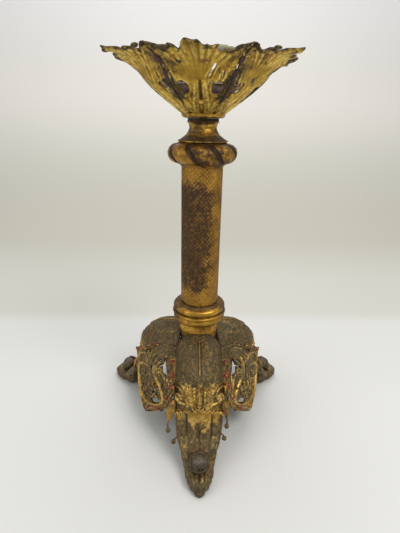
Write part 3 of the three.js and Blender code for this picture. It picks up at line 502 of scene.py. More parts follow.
# In each brass below, the third colour is the painted highlight, and the colour on its own line is the painted
# shade of the hollows.
GILT = brass(
    "gilt", (200, 156, 60), (152, 113, 40), (226, 190, 106), (104, 80, 42), (70, 50, 26),
    (46, 32, 16),
    [((138, 84, 34), 90, 0.54, 0.70), ((54, 50, 36), 56, 0.63, 0.74)],
)
CROWN = brass(
    "crown_gilt", (204, 166, 66), (162, 128, 46), (232, 204, 116), (96, 78, 42), (56, 46, 28),
    (44, 31, 15),
    [((126, 74, 34), 78, 0.56, 0.70), ((40, 50, 52), 44, 0.62, 0.71), ((84, 26, 26), 150, 0.68, 0.73)],
)
BROWN = brass(
    "brown_brass", (176, 132, 52), (134, 96, 38), (180, 138, 62), (98, 70, 34), (64, 44, 22),
    (36, 24, 12),
    [((122, 58, 32), 170, 0.61, 0.70)],
    rough=(0.38, 0.5), metal=(0.8, 0.6),
)
ROOF = brass(
    "patina_brass", (176, 138, 60), (134, 102, 44), (206, 172, 98), (112, 93, 56), (74, 62, 39),
    (42, 33, 20),
    [((112, 66, 42), 120, 0.56, 0.68), ((82, 80, 56), 52, 0.57, 0.72), ((92, 30, 30), 210, 0.67, 0.72)],
    rough=(0.38, 0.52), metal=(0.82, 0.5),
)
IRON = plain_metal(
    "iron", (104, 91, 77), (62, 52, 44), (156, 140, 120), [((116, 82, 54), 120, 0.58, 0.70)], 0.5, 0.6
)
TIN = plain_metal(
    "tin", (150, 134, 126), (118, 104, 98), (184, 170, 160), [((60, 66, 66), 60, 0.6, 0.68)], 0.42, 0.7
)
# a dark maroon for the painted shade in the crown's seams
MAROON = plain_metal(
    "maroon_seam_shade", (78, 28, 28), (44, 20, 20), (120, 74, 44), [((40, 30, 24), 160, 0.5, 0.62)], 0.5, 0.2
)
SHELL = plain_metal(
    "pale_corrosion", (146, 140, 114), (96, 88, 62), (178, 172, 146), [((120, 88, 44), 150, 0.52, 0.64)],
    0.6, 0.35,
)


def glass():
    n = Nodes("red_glass")
    cloud, dust = n.noise(62, 2, 0.5), n.noise(420, 3, 0.6)
    colour = n.mix(n.span(cloud, 0.42, 0.58), (62, 10, 14), (128, 16, 18))
    colour = n.mix(n.span(dust, 0.50, 0.66, 0.0, 0.75), colour, (96, 58, 42))
    n.join(colour, n.shader.inputs["Base Color"])
    n.join(n.span(dust, 0.4, 0.7, 0.14, 0.42), n.shader.inputs["Roughness"])
    n.shader.inputs["Specular IOR Level"].default_value = 0.5
    n.bump(n.noise(700, 2, 0.5), 0.0002, 0.4)
    return n.material


GLASS = glass()

# ---------------------------------------------------------------- crown leaves
leaf_profile = through(
    [
        (9, 0), (17.8, 0), (24, 3.6), (41, 16), (60.5, 31), (75, 46.5), (89, 56.4), (101, 60), (110.5, 60.8),
        (120, 62),
    ]
)
LEAF_SEAT = 427.6
LEAF_WALL = 1.6
LEAF_HALF = math.radians(29.7)
FIRST_LEAF = -6  # azimuth of the front leaf, degrees
FAN_PITCH = 10.4
ROOT_OF_FAN = 60.0


def leaf_surface(U, V):
    r, rise = np.moveaxis(leaf_profile(V), -1, 0)
    return np.stack([r * np.sin(U * LEAF_HALF), -r * np.cos(U * LEAF_HALF), LEAF_SEAT + rise], -1)


leaf_length = arc_table(leaf_surface)
# The outer edge's length along the leaf: over U from -1 to 1 for the front leaf, over |U| for the others.
front_edge = through(
    [[115], [113], [107], [101], [106], [107], [99.5], [109], [117], [114], [112], [104.5], [103.5], [104], [105],
     [104], [101], [100], [107], [112], [115]]
)
side_edge = through([[127], [123], [114.5], [108.5], [109], [112], [107], [103.5], [107], [112], [115]])


def leaf_edge(U, front):
    return front_edge((U + 1) / 2)[..., 0] if front else side_edge(np.abs(U))[..., 0]


def place(U, half, length):
    """Millimetres across a surface and along it, how far from its middle, and its half width."""
    return U * half, length, np.abs(U * half), half


def leaf_place(U, V):
    return place(U, LEAF_HALF * leaf_profile(V)[..., 0], leaf_length(V))


def leaf_inside(U, V, front):
    P, Q, A, _ = leaf_place(U, V)
    m = np.minimum(leaf_edge(U, front) + 0.45 * np.sin(U * 41 + 1) - Q, 60)
    m = np.minimum(m, oval(A, Q, 18, 54.5, 6.4, 9.4, -16))
    for gap in (
        ((9, 69), (16, 82), 1.7, 0.35), ((11, 60), (11.6, 62), 1.6), ((22, 68.5), (24, 74.5), 1.4, 0.3),
        ((-25, 58), (-30, 72), 1.6, 0.4),
    ):
        m = np.minimum(m, slot(P, Q, *gap))
    return m


def leaf_strokes():
    strokes = [
        (bend([(4.8, 14), (6.0, 30), (5.0, 45), (4.2, 60), (5.6, 66)]), 3.3, 1.9, 0.2),
        (bend([(1.0, 34), (0.2, 26), (0, 20)], 6), 1.8, 1.3, 0.5),
        (bend([(9, 17), (12.5, 27), (19.5, 38), (25, 46), (25, 56), (21, 63)]), 2.2, 1.6, 0.3),
        (bend([(12, 19), (17, 28), (22, 35), (26, 38)]), 1.6, 1.2, 0.5),
        (bend([(6.5, 22), (9, 32), (11.5, 41), (10, 46)]), 1.8, 1.2, 0.4),
        (bend([(14, 21), (20, 29), (24, 33)]), 1.4, 1.1, 0.5),
    ]
    strokes += spray([(27, 48), (31, 58), (34, 68), (40, 80), (46, 92), (50, 104)], 8, 1.7, 1.3, 5.2, 42)
    strokes += spray([(22, 60), (25, 68), (30, 78), (36, 90)], 5, 1.3, 1.0, 5.0, 40, (-1,))
    return strokes


LEAF_STROKES = leaf_strokes()


def fan_ribs(A, Q):
    """Rounded ribs that rise from the top of the stem and bend outwards, with thin grooves between."""
    spread = 0.16 + 0.84 * np.clip((Q - ROOT_OF_FAN) / 52, 0.0, 1.4) ** 1.25
    place = A / spread
    rib = np.abs(((place / FAN_PITCH + 0.5) % 1.0) * 2 - 1)
    fine = 1 - 0.22 * bell((np.abs(rib - 0.55)) / 0.12)
    tall = np.minimum(2.3, 0.34 * FAN_PITCH * spread)
    return tall * fine * (1 - (1 - rib) ** 2.2) * smooth(54, 46, place) * smooth(62, 67, Q), place


def leaf_relief(U, V, front):
    _, Q, A, half = leaf_place(U, V)
    ribs, place = fan_ribs(A, Q)
    beside = np.maximum(smooth(40, 50, place), smooth(66, 60, Q))
    H = np.maximum((0.6 + ridges(A, Q, LEAF_STROKES)) * beside, ribs)
    m = leaf_inside(U, V, front)
    H = np.maximum(H, 0.5 + 1.3 * dome((m - 1.3) / 1.3) * (Q > 30) * (Q < 96))
    slit = smooth(1.7, 0.6, A) * window(Q, 34, 38, 60, 66)
    H = H - 1.4 * slit - 0.8 * smooth(1.3, 0.2, np.abs(half - A) - 0.6) * smooth(48, 56, Q)
    return np.clip(H, 0, 3) * smooth(10, 17, Q)


def leaf_gold(U, V, front):
    _, Q, A, _ = leaf_place(U, V)
    g = 0.72 - 0.30 * smooth(0.62, 0.95, np.abs(U)) - 0.6 * smooth(6.5, 2.0, leaf_edge(U, front) - Q)
    g = g + 0.18 * smooth(24, 12, A) * smooth(50, 60, Q)
    hollow = bell(np.maximum(oval(A, Q, 27, 50, 8, 12, -10), 0) / 3.0)
    return g - 0.62 * hollow + 0.2 * smooth(36, 24, Q)


leaf_cells = ((124, 132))


def crown_leaf(front):
    inside, relief, gold = (lambda U, V, f=f: f(U, V, front) for f in (leaf_inside, leaf_relief, leaf_gold))
    return shell(
        leaf_surface, LEAF_WALL, leaf_cells, inside, relief, gold, back=0.6, full=2.0, inner=0.5, flip=True
    )


front_leaf, side_leaf = crown_leaf(True), crown_leaf(False)
for k in range(6):
    emit(
        f"leaf_{k + 1}", side_leaf if k else front_leaf, CROWN, azimuth=FIRST_LEAF + 60 * k,
        replaces=[f"crown_leaf_{k + 1}"],
    )


def leaf_lump(azimuth, q, p, sizes, lift, gold=0.3, relief=0.5):
    """A lump on a leaf q along it and p across it, with half lengths along it, across it and outwards."""
    v = v_at(leaf_length, q)
    u = np.array([p / (LEAF_HALF * float(leaf_profile(np.array([v]))[0, 0]))])
    here, normal = leaf_surface(u, np.array([v]))[0], -outward(leaf_surface, u, np.array([v]))[0]
    along = unit(leaf_surface(u, np.array([v + 2e-3]))[0] - here)
    c, s = math.cos(math.radians(azimuth)), math.sin(math.radians(azimuth))
    turn = np.array([[c, -s, 0], [s, c, 0], [0, 0, 1]])
    along, normal = turn @ along, turn @ normal
    axes = np.array([along, np.cross(normal, along), normal])
    return blob(turn @ here + lift * normal, sizes, axes, 22, gold, relief, power=0.9)


# Dark maroon lumps down the seams between the leaves: painted shade where the leaves meet.
seam_shade_lumps = [
    leaf_lump(FIRST_LEAF + 30 + 60 * k, q, 0, sizes, 1.3)
    for k in range(6)
    for q, sizes in ((71.5, (7.4, 2.9, 0.9)), (89.0, (5.4, 3.2, 0.9)), (101.0, (4.6, 1.7, 0.9)))
]
emit("seam_shade", seam_shade_lumps, MAROON)
curls = [
    (-6, 106.5, -35, (1.7, 8.0, 1.7), 1.6, -0.1, 0.4), (-6, 106.0, -42, (2.6, 2.6, 2.2), 1.6, -0.1, 0.4),
    (-66, 112, 24, (2.4, 4.2, 2.0), 1.4, 0.2), (-66, 114, 44, (2.2, 4.6, 2.2), 1.4, 0.1),
    (-66, 121, -8, (3.4, 2.6, 1.8), 1.2, 0.3), (54, 117, -30, (2.0, 5.0, 1.6), 1.2, -0.1, 0.4),
    (54, 120, -4, (2.6, 3.4, 1.6), 1.2, -0.1, 0.4),
]
emit("leaf_curls", [leaf_lump(*row) for row in curls], CROWN)
lumps = [(FIRST_LEAF, 103.0, 23, (3.4, 6.0, 2.6), 1.6), (FIRST_LEAF, 104.0, 29, (2.2, 5.0, 1.5), 1.9)]
emit("shell_lump", [leaf_lump(*row) for row in lumps], SHELL)

# ---------------------------------------------------------------- straps, feet and balls
leg_station = through(
    [
        (20.5, 146, 33, 26), (50.75, 140, 33, 26), (75, 130, 33, 26), (90, 116, 33, 24), (96, 98, 33, 20),
        (98, 71.5, 32.5, 13), (108, 45, 29.5, 8.67), (122, 31, 23, 4.33),
    ]
)
HUB_RADIUS = 26.2
STRAP_WALL = 3.0
STRAP_LAP = 0.3  # how far a strap reaches past the seam with its neighbour
BOSS_Q = 141


def leg_surface(U, V):
    a, b = leg_station(V), leg_station(V + 1e-3) - leg_station(V - 1e-3)
    length = np.hypot(b[..., 0], b[..., 1])
    ax, ay = b[..., 0] / length, b[..., 1] / length
    sink = a[..., 3] * np.abs(U) ** 2.4
    return np.stack([U * a[..., 2], -(a[..., 0] + ay * sink), a[..., 1] - ax * sink], -1)


leg_length = arc_table(leg_surface)


def leg_place(U, V):
    return place(U, leg_station(V)[..., 2], leg_length(V))


def leg_inside(U, V):
    _, Q, A, half = leg_place(U, V)
    xyz = leg_surface(U, V)
    hub = np.hypot(xyz[..., 0], xyz[..., 1]) - HUB_RADIUS
    wedge = (-xyz[..., 1] * math.sin(math.pi / 3) - np.abs(xyz[..., 0]) * math.cos(math.pi / 3)) + STRAP_LAP
    scallops = 0.3 * smooth(118, 128, Q) * (np.cos(Q * 2 * math.pi / 5.2) - 1)
    edge = half - A - 0.3 * smooth(158, 171, Q) + scallops + 0.35
    return np.minimum(np.minimum(hub, wedge), np.minimum(edge, 60))


def cresting(A):
    """Where the scalloped band under the crest runs, from the middle outwards."""
    return 117.5 + 9.5 * (A / 29.5) ** 1.6


def strap_strokes():
    s = spray([(6, 6), (6, 18), (9, 28), (12, 40), (9, 53), (12, 66), (9, 77)], 6.5, 1.5, 1.0, 5.6, 48)
    outer = [(20, 4), (22, 14), (22, 24), (24, 36), (20, 48), (24, 60), (21, 70), (25, 80)]
    s += spray(outer, 6.5, 1.5, 1.0, 5.6, 48)
    s += [
        (spiral(15.5, 34, 3.4, 1.1, -120, 1, 12), 1.2, 1.1, 0.2),
        (spiral(16, 60, 3.6, 1.1, 150, -1, 12), 1.2, 1.1, 0.2),
    ]
    # the crest: a middle leaf, an acanthus on each side of it and a volute beyond
    s += spray([(0, 118), (0, 104), (0, 90), (0, 81)], 5.5, 1.5, 1.6, 5.0, 34)
    s += [(bend([(4.4, 117), (6.6, 108), (6.4, 98), (8.4, 86)], 10), 1.5, 1.7, 0.3)]
    s += spray([(8, 117), (11, 108), (12.5, 98), (14.5, 89), (18, 82.5)], 8, 1.7, 2.0, 4.4, 46, (1,), -0.3)
    s += spray([(8, 117), (10, 108), (11, 98), (12, 88), (13, 80)], 4.5, 1.5, 1.6, 4.4, 40, (-1,))
    s += [
        (bend([(9, 118), (15, 113), (20, 112), (26, 113), (31, 109)]), 2.0, 2.2, 0.2),
        (spiral(25.5, 105.5, 5.6, 1.3, 100, -1), 1.9, 2.4, 0.2),
        (bend([(20, 100), (22, 94), (27, 91), (31, 93)]), 1.9, 2.0, 0.3),
        (bend([(19, 92), (22, 86), (27, 83), (31, 85)]), 1.7, 1.6, 0.3),
        (bend([(15, 84), (18.5, 80.5), (22, 81), (24, 84)]), 2.0, 2.3, 0.3),
        (bend([(31, 112), (32, 104), (31.4, 96)]), 1.6, 1.8, 0.3),
    ]
    for k in range(6):
        a = 2.6 + 5.2 * k
        s.append((spiral(a, cresting(a) + 2.2, 2.3, 0.95, -90, 1, 10, 0.7), 1.0, 1.7, 0.0))
    for k in range(5):
        s.append(([(6.7, 86 + 5.2 * k), (6.7, 86.4 + 5.2 * k)], 1.8, 2.4 - 0.15 * k, 0.0))
    return s


STRAP_STROKES = strap_strokes()


def groove_at(Q):
    """How far from the middle the grooves between the middle flute and the outer ones run."""
    return 16.3 - 1.3 * smooth(124, 172, Q)


def boss_reach(P, Q, across, along):
    """1 on the edge of the diamond-shaped boss below the crest, less within it."""
    return np.abs(P) / across + np.abs(Q - BOSS_Q) / along


def flutes(A, half, Q):
    """Height of the rounded flutes side by side, from 0 to 1."""
    groove = groove_at(Q)
    inner = dome((A - groove / 2) / (groove / 2 - 0.2))
    inner = np.maximum(inner, 0.9 * dome(A / (groove - 0.3)) * smooth(142, 134, Q))
    outer = dome((A - (groove + half) / 2) / ((half - groove) / 2 - 0.7))
    return np.maximum(inner, 0.94 * outer)


def strap_relief(U, V):
    P, Q, A, half = leg_place(U, V)
    band = cresting(A)
    shown = smooth(0, 5, Q) * smooth(band + 4.6, band + 3.4, Q)
    H = (0.5 + 1.15 * ridges(A, Q, STRAP_STROKES)) * shown
    H += 0.12 * np.sin(P * 1.7 + Q * 0.9) * np.sin(P * 0.8 - Q * 1.3) * shown
    rib = 1.7 * dome(A / 1.1) * window(Q, 14, 18, 70, 74)
    H = np.maximum(H, rib) - 0.55 * smooth(0.9, 0.2, np.abs(A - 1.9)) * window(Q, 16, 20, 70, 74)
    H = np.maximum(H, 2.8 * flutes(A, half, Q) * smooth(band - 1, band + 17, Q) ** 0.8)
    H -= 0.8 * bell((A - 4.6) / 0.8) * smooth(146, 154, Q)
    H -= 0.45 * bell((A - 9.6) / 0.9) * window(Q, 128, 134, 160, 172)
    boss = boss_reach(P, Q, 6.4, 6.2)
    H += 2.2 * np.sqrt(np.clip(1 - boss, 0, 1)) - 0.9 * smooth(0.18, 0.0, np.abs(boss - 1.12))
    beads = 0.5 + 0.5 * np.cos(Q * 2 * math.pi / 4.6)
    H = np.maximum(H, (1.3 + 0.9 * beads) * bell((half - A - 1.5) / 1.2) * smooth(122, 130, Q))
    H = np.maximum(H, 1.5 * bell((half - A - 1.2) / 1.0) * window(Q, 120, 112, 30, 24))
    return np.clip(H, 0, 4) * (1 - 0.75 * smooth(160, 171, Q))


def strap_gold(U, V):
    P, Q, A, _ = leg_place(U, V)
    band = cresting(A)
    streaks = 0.16 * np.sin(P * 2.1 + 0.4) + 0.12 * np.sin(P * 3.9 + 1.3) + 0.05 * np.sin(P * 0.7 + Q * 0.2)
    crest = 0.50 + 0.12 * np.sin(P * 0.9 + Q * 0.5) * np.sin(Q * 0.7 - P * 0.4)
    end = 134 + 7 * np.cos(P * 0.13 - 0.6) + 6 * bell((A - 7) / 3.5)
    upper = (0.95 + streaks) * smooth(end + 11, end - 5, Q)
    g = 0.10 + 0.06 * smooth(8, 0, A)
    g = np.where(Q < band + 3.5, g + crest * smooth(78, 92, Q), np.maximum(g + 0.5 * streaks, upper))
    g = np.where(A < 1.2, g + 0.7 * window(Q, 14, 18, 70, 76), g)
    g = np.where(boss_reach(P, Q, 6.8, 6.6) < 1, -0.2, g) - 0.16 * smooth(143, 150, Q)
    g = g - 0.9 * bell((A - groove_at(Q)) / 1.1) * smooth(band + 3, band + 7, Q)
    return g + 0.16 * smooth(44, 26, Q) * smooth(16, 0, A)


foot_station = through(
    [
        (52, 27.8, 43.6, 15), (42, 25.4, 35, 0), (32, 21.6, 21.5, 0), (20, 19.6, 17.5, 0), (9.2, 14.8, 18, 0),
        (3.4, 9.0, 15.0, 0), (-0.9, 4.4, 10, 1.5),
    ]
)


def foot():
    """The foot under a strap's end, with its flutes, then two ribs in a V and a dark vein towards the toe."""
    around = 120
    ca, sa = np.cos(circle(around)), np.sin(circle(around))
    x, z = np.sign(ca) * np.abs(ca) ** 0.62, np.sign(sa) * np.abs(sa) ** 0.62
    rings, relief, gold = [], [], []
    for tip, half, top, low in foot_station(np.linspace(0, 1, 84)):
        notch = 0.06 * math.exp(-((tip - 30.5) / 2.2) ** 2) + 0.035 * math.exp(-((tip - 17) / 1.6) ** 2)
        X = half * (1 - notch) * x * (0.72 + 0.28 * (z + 1) / 2)
        Z = low + (top - low) * (z + 1) / 2
        upper = smooth(-0.1, 0.5, z)
        A = np.abs(X)
        side = dome((A - (15.0 + half) / 2) / (max(half - 15.0, 1) / 2 + 0.3))
        H = 1.9 * side * smooth(24, 34, tip)
        V_rib, outer = (np.abs(A - (start + 0.42 * max(tip - 18, 0))) for start in (3.7, 8.2))
        H = np.maximum(H, 2.1 * dome(V_rib / 1.9) * window(tip, 36, 31, 9, 3))
        H = np.maximum(H, 1.5 * dome(outer / 1.7) * window(tip, 40, 34, 10, 5))
        leafy = 0.5 + 0.5 * np.cos((A * 0.9 + tip) * 2 * math.pi / 5.4)
        leafy *= smooth(5, 9, A) * smooth(44, 36, tip)
        vein = smooth(2.0, 0.6, A) * window(tip, 32, 27, 8, 3)
        height = (0.6 + np.maximum(H, leafy * 0.7) - 0.9 * vein) * upper
        Z = Z + height - 0.5
        edge = 0.6 * np.cos(tip * 2 * math.pi / 7.0 + z * 2.0) * (1 - upper) * np.sign(ca)
        rings.append(np.c_[X + edge, np.full(around, -(160 - tip)), np.maximum(Z, 0.0)])
        relief.append(np.where(upper > 0.4, np.clip((height - 0.35) / 1.9, 0, 1), 0.35))
        shine = 0.8 * bell(V_rib / 1.7) * window(tip, 15, 20, 26, 32)
        gold.append(np.where(upper > 0.5, 0.14 + shine - 0.2 * vein, 0.06))
    return rings_solid(rings, relief, gold)


BALL = np.array([0, -134.0, 28.0])
BALL_RADIUS = 10.4


def ring_bar(centre, radius, bar, normal, gold=0.3, sides=10, around=40, wave=0.0, lobes=0):
    """A closed round bar."""
    n = unit(np.asarray(normal, float))
    e1 = unit(np.cross(n, [1.0, 0, 0] if abs(n[0]) < 0.8 else [0, 1.0, 0]))
    a, b = circle(around), circle(sides)
    thick = (bar * (1 + wave * np.cos(lobes * a)))[:, None]
    radial = np.cos(a)[:, None] * e1 + np.sin(a)[:, None] * np.cross(n, e1)
    rings = hoops(np.asarray(centre, float) + radius * radial, radial, n, thick * np.cos(b), thick * np.sin(b))
    return rings_solid(rings, 0.7 if gold > 0 else 0.12, gold, closed=True)


def foot_extras():
    """The setting round the ball and the claws that hold it."""
    tilt = unit(np.array([0, -0.62, 0.78]))
    parts = [ring_bar(BALL + np.array([0, 0.992, -1.248]), 10.8, 2.9, tilt, -0.4, wave=0.14, lobes=7)]
    across = np.array([1.0, 0, 0])
    for a in (math.radians(40), math.radians(140)):
        d = math.cos(a) * across + math.sin(a) * np.cross(tilt, across)
        claw = [BALL + out * d + up * tilt for out, up in ((12.4, -4), (11.6, 3.2), (7.6, 8.0), (5.6, 9.4))]
        parts.append(tube(bend(claw, 8), 2.3, 10, 0.6, -0.2, relief=0.3))
    return parts


def teardrop(base, tip, width, thick, normal, gold=0.8, count=14):
    """A leaf with a middle rib, from its base to its tip, flat to a normal."""
    base, tip, normal = (np.asarray(p, float) for p in (base, tip, normal))
    length = np.linalg.norm(tip - base)
    along = (tip - base) / length
    side = unit(np.cross(normal, along))
    s = np.linspace(0.02, 1, count)[:, None]
    w = width * np.sin(np.pi * s**0.75) ** 0.8 + 0.15 * width * (1 - s)
    curl = 0.096 * length * np.sin(np.pi * s)
    ca, sa = np.cos(circle(16)), np.sin(circle(16))
    ridge = 1 + 0.9 * bell(ca / 0.3) * (sa > 0)
    over = np.maximum(thick * (w / width), 0.1) * sa * ridge + curl
    rings = hoops(base + s * length * along, side, np.cross(along, side), np.maximum(w, 0.12) * ca, over)
    return rings_solid(rings, 0.35 + 0.5 * bell(ca / 0.35) * (sa > 0), gold)


def bracket(side, out, drop, low_q, low_out):
    """The gold leaf with a hanging berry beside a knee, and a second berry on the strap's edge."""
    def at(q, aside, lift=0.0):
        p = leg_surface(np.array([float(side)]), np.array([v_at(leg_length, q, 400)]))[0]
        return p + np.array([side * aside, -lift, 0])

    end = at(drop, out, 0.5)
    fold = teardrop(at(112, 0.0, 1.5), end, 4.9, 1.6, (side * 0.35, -1, 0.2), 0.62, 18)
    back = teardrop(at(118, 0.5), at(drop - 9, out + 2.2, -1.0), 4.2, 1.3, (side * 0.8, -1, 0.2), 0.4, 14)
    return [
        fold, back,
        tube(bend([at(drop - 8, out - 2.5), end, at(drop + 4.5, out)], 8), 1.2, 8, -0.05, 0.1),
        blob(at(drop + 7.5, out), (3.1, 3.1, 3.3), gold=-0.2, relief=0.25),
        tube(bend([at(low_q - 4, -2.0), at(low_q - 2, 1.6), at(low_q, low_out - 0.4)], 6), 1.2, 8, 0.1, 0.3),
        blob(at(low_q + 1.5, low_out), (3.1, 3.1, 3.1), gold=-0.2, relief=0.25),
    ]


strap_cells = ((128, 300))
strap = shell(leg_surface, STRAP_WALL, strap_cells, leg_inside, strap_relief, strap_gold, back=0.15)
brackets = bracket(-1, 10.4, 141, 158, 5.8) + bracket(1, 6.0, 137, 155, 4.8)
below_strap = {"foot": foot(), "claw": foot_extras(), "bracket": brackets}
for k, name in enumerate(LEG_NAMES):
    emit(f"strap_{name}", strap, ROOF, azimuth=120 * k, replaces=[f"leg_{name}"])
    for label, parts in below_strap.items():
        emit(f"{label}_{name}", parts, ROOF, azimuth=120 * k)
    ball = blob(BALL, [BALL_RADIUS] * 3, segments=40)
    emit(f"ball_{name}", ball, IRON, azimuth=120 * k, replaces=[f"foot_ball_{name}"])

# ---------------------------------------------------------------- side panels
# The panel by station: how far out and how high its middle is, its half width, and the same two at its border.
panel_station = through(
    [
        (39.45, 118, 1.2, 39.45, 118), (57.05, 117, 30.88, 55.5, 113), (70, 112, 46.95, 64, 103),
        (76, 98, 56.51, 72, 95), (81, 80.05, 50.52, 75, 80.05), (85.5, 61.85, 43.51, 77.5, 63.8),
        (88, 43, 27.01, 84.5, 46.9), (88, 30, 5.0, 88, 30.5),
    ]
)


def panel_wide(V):
    """Half width of the sheet, which laps under the straps beside it."""
    return panel_station(V)[..., 2] + 1.7 + 12 * smooth(0.17, 0.0, V)


def panel_surface(U, V):
    a = panel_station(V)
    x = U * panel_wide(V)
    b = np.minimum((x / a[..., 2]) ** 2, 1.08)
    y = a[..., 0] + (a[..., 3] - a[..., 0]) * b
    return np.stack([x, -y, a[..., 1] + (a[..., 4] - a[..., 1]) * b], -1)


panel_length = arc_table(panel_surface)
STRAP_SIDE = 31.8  # how far from the axis the straps beside a panel end
PANEL_WALL = 2.6


def panel_place(U, V):
    return place(U, panel_wide(V), panel_length(V))


def panel_border(U, V):
    """Distance inside the panel's outline, its straps and its pointed lower end."""
    _, _, A, half = panel_place(U, V)
    xyz = panel_surface(U, V)
    strap = -xyz[..., 1] * math.sin(math.pi / 3) - np.abs(xyz[..., 0]) * math.cos(math.pi / 3) - STRAP_SIDE
    return np.minimum(strap, (half - A) * 0.9)


RING_ACROSS, RING_DOWN, RING_MIDDLE = 40.0, 24.0, 73.0
RING_WIDTH = 27.0  # turns the frame's own distance into millimetres


def frame_ring(A, Q):
    """How far out a place is in the round frame: 1 on the middle of its band."""
    return np.hypot(A / RING_ACROSS, (Q - RING_MIDDLE) / RING_DOWN)


PANEL_OVALS = [
    (0, 47, 3.0, 3.4, 0), (0, 61, 1.8, 2.4, 0), (19, 62, 2.2, 3.2, 20), (0, 75, 2.0, 2.4, 0), (27, 72, 2.0, 3.2, 0),
    (9, 70, 1.6, 2.6, 20), (10, 80, 1.5, 2.8, -30), (18, 75, 1.6, 2.6, 20), (0, 89, 6.0, 2.6, 0),
    (20, 96.5, 3.0, 1.6, 20),
]
PANEL_SLOTS = [
    ((0, 29), (0, 37), 1.5, 0.3), ((10, 29), (8, 37), 1.4, 0.3), ((18, 31), (13.5, 39.5), 1.3, 0.3),
    ((50, 43), (47, 50), 1.6, 0.3), ((36, 52), (34, 58), 1.6, 0.2),
]
PANEL_PITS = [((41, 27), (33, 30), 2.0), ((50, 37), (47, 41), 1.4), ((24, 21), (33, 25), 1.0)]
WINDOW = [(14.2, 22.8), (34.6, 34.6), (24.6, 38.6)]


def triangle(A, Q, corners):
    """Rough distance outside a three-cornered opening."""
    c = np.array(corners, float)
    middle = c.mean(0)
    far = np.full(A.shape, -1e9)
    for k in range(3):
        a, b = c[k], c[(k + 1) % 3]
        n = unit(np.array([b[1] - a[1], a[0] - b[0]]))
        n = -n if n @ (middle - a) > 0 else n
        far = np.maximum(far, (A - a[0]) * n[0] + (Q - a[1]) * n[1])
    return far - 0.24


def panel_inside(U, V):
    _, Q, A, _ = panel_place(U, V)
    m = np.minimum(panel_border(U, V), 60)
    for gap in [oval(A, Q, *row) for row in PANEL_OVALS] + [slot(A, Q, *row) for row in PANEL_SLOTS]:
        m = np.minimum(m, gap)
    m = np.minimum(m, triangle(A, Q, WINDOW))
    ring = frame_ring(A, Q)
    angle = np.degrees(np.arctan2((Q - RING_MIDDLE) / RING_DOWN, A / RING_ACROSS))
    crescent = np.maximum(np.abs(ring - 0.80) * RING_WIDTH - 3.1, (np.abs(angle - 40) - 20) * 0.5)
    return np.minimum(m, crescent)


def panel_strokes():
    s = [
        (spiral(17, 64, 6.5, 1.25, 60, -1), 1.5, 2.2, 0.3),
        (spiral(14, 80, 6.0, 1.25, -60, 1), 1.5, 2.2, 0.3),
        (spiral(29, 68, 5.0, 1.1, 180, 1), 1.4, 2.0, 0.3),
        (spiral(5, 68, 4.0, 1.0, 20, 1), 1.3, 1.8, 0.3),
        (bend([(0, 54), (4, 62), (4, 70), (2, 78), (0, 84)]), 1.5, 2.0, 0.2),
        (bend([(4, 72), (10, 71), (15, 73), (22, 76), (31, 78)]), 1.5, 2.0, 0.3),
        (bend([(3, 86), (9, 85), (15, 87), (24, 82)]), 1.4, 1.9, 0.3),
        (bend([(24, 58), (30, 58), (35, 63), (36, 70)]), 1.4, 1.9, 0.3),
        (bend([(12, 99), (9, 103), (6, 108), (2, 113)]), 1.5, 1.8, 0.2),
        (bend([(30, 92), (22, 99), (14, 105), (6, 113)]), 1.6, 2.0, 0.2),
        (bend([(44, 36), (48, 42), (51, 50), (49, 58)]), 1.5, 1.8, 0.3),
        (bend([(12, 21), (22, 27.5), (31, 32), (37, 37), (43, 46), (46, 56)]), 1.3, 2.2, 0.1),
        (bend([(7, 13), (13, 22), (19, 31), (23, 39.5), (17, 45), (8, 49)]), 1.4, 2.0, 0.1),
        (bend([(24, 40), (32, 40.5), (39, 46), (43, 54)]), 1.3, 2.0, 0.1),
    ]
    s += spray([(3, 16), (6, 21), (9, 26)], 4.0, 1.2, 1.3, 3.6, 45)
    for k in range(9):
        lean = math.radians(6 + 10.5 * k)
        d = np.array([math.sin(lean), -math.cos(lean)])
        start = np.array([0, 47.0]) + 5.5 * d
        reach = 13 + 6 * math.sin(math.radians(11.5 * k))
        middle = start + 0.5 * reach * d + np.array([0.0, 0.8])
        s.append(([start, middle, start + reach * d + np.array([0.4, 1.6])], 1.5, 1.5, -0.2))
    return s


PANEL_STROKES = panel_strokes()


def panel_relief(U, V):
    _, Q, A, _ = panel_place(U, V)
    H = 0.7 + ridges(A, Q, PANEL_STROKES) + 0.2 * np.sin(A * 1.9 + Q * 0.7) * np.sin(A * 0.9 - Q * 1.6)
    ring = (frame_ring(A, Q) - 1) * RING_WIDTH
    away = 0.75 + 0.25 * np.cos(A * 0.5 + Q * 0.8)
    band = np.maximum(
        3.5 * dome(ring / 1.8),
        2.2 * away * dome((ring + 3.8) / 1.1) * smooth(52, 60, Q),
    )
    band = np.maximum(band, 2.2 * away * dome((ring - 3.4) / 1.2) * smooth(54, 62, Q))
    H = np.maximum(H, band * smooth(47, 52, Q))
    border = panel_border(U, V)
    rims = np.maximum(bell((border - 1.8) / 1.1), 0.8 * bell((border - 11.2) / 1.0) * (ring > 1.5))
    H = np.maximum(H, 2.2 * rims)
    m = panel_inside(U, V)
    H = np.maximum(H, 1.7 * bell((m - 0.9) / 0.9))
    rib = 2.0 * dome(A / 1.8) * smooth(96, 99, Q)
    H = np.maximum(H, rib)
    for a, b, width in PANEL_PITS:
        H = H * smooth(-0.9, 0.6, slot(A, Q, a, b, width))
    return H * smooth(0, 4, Q)


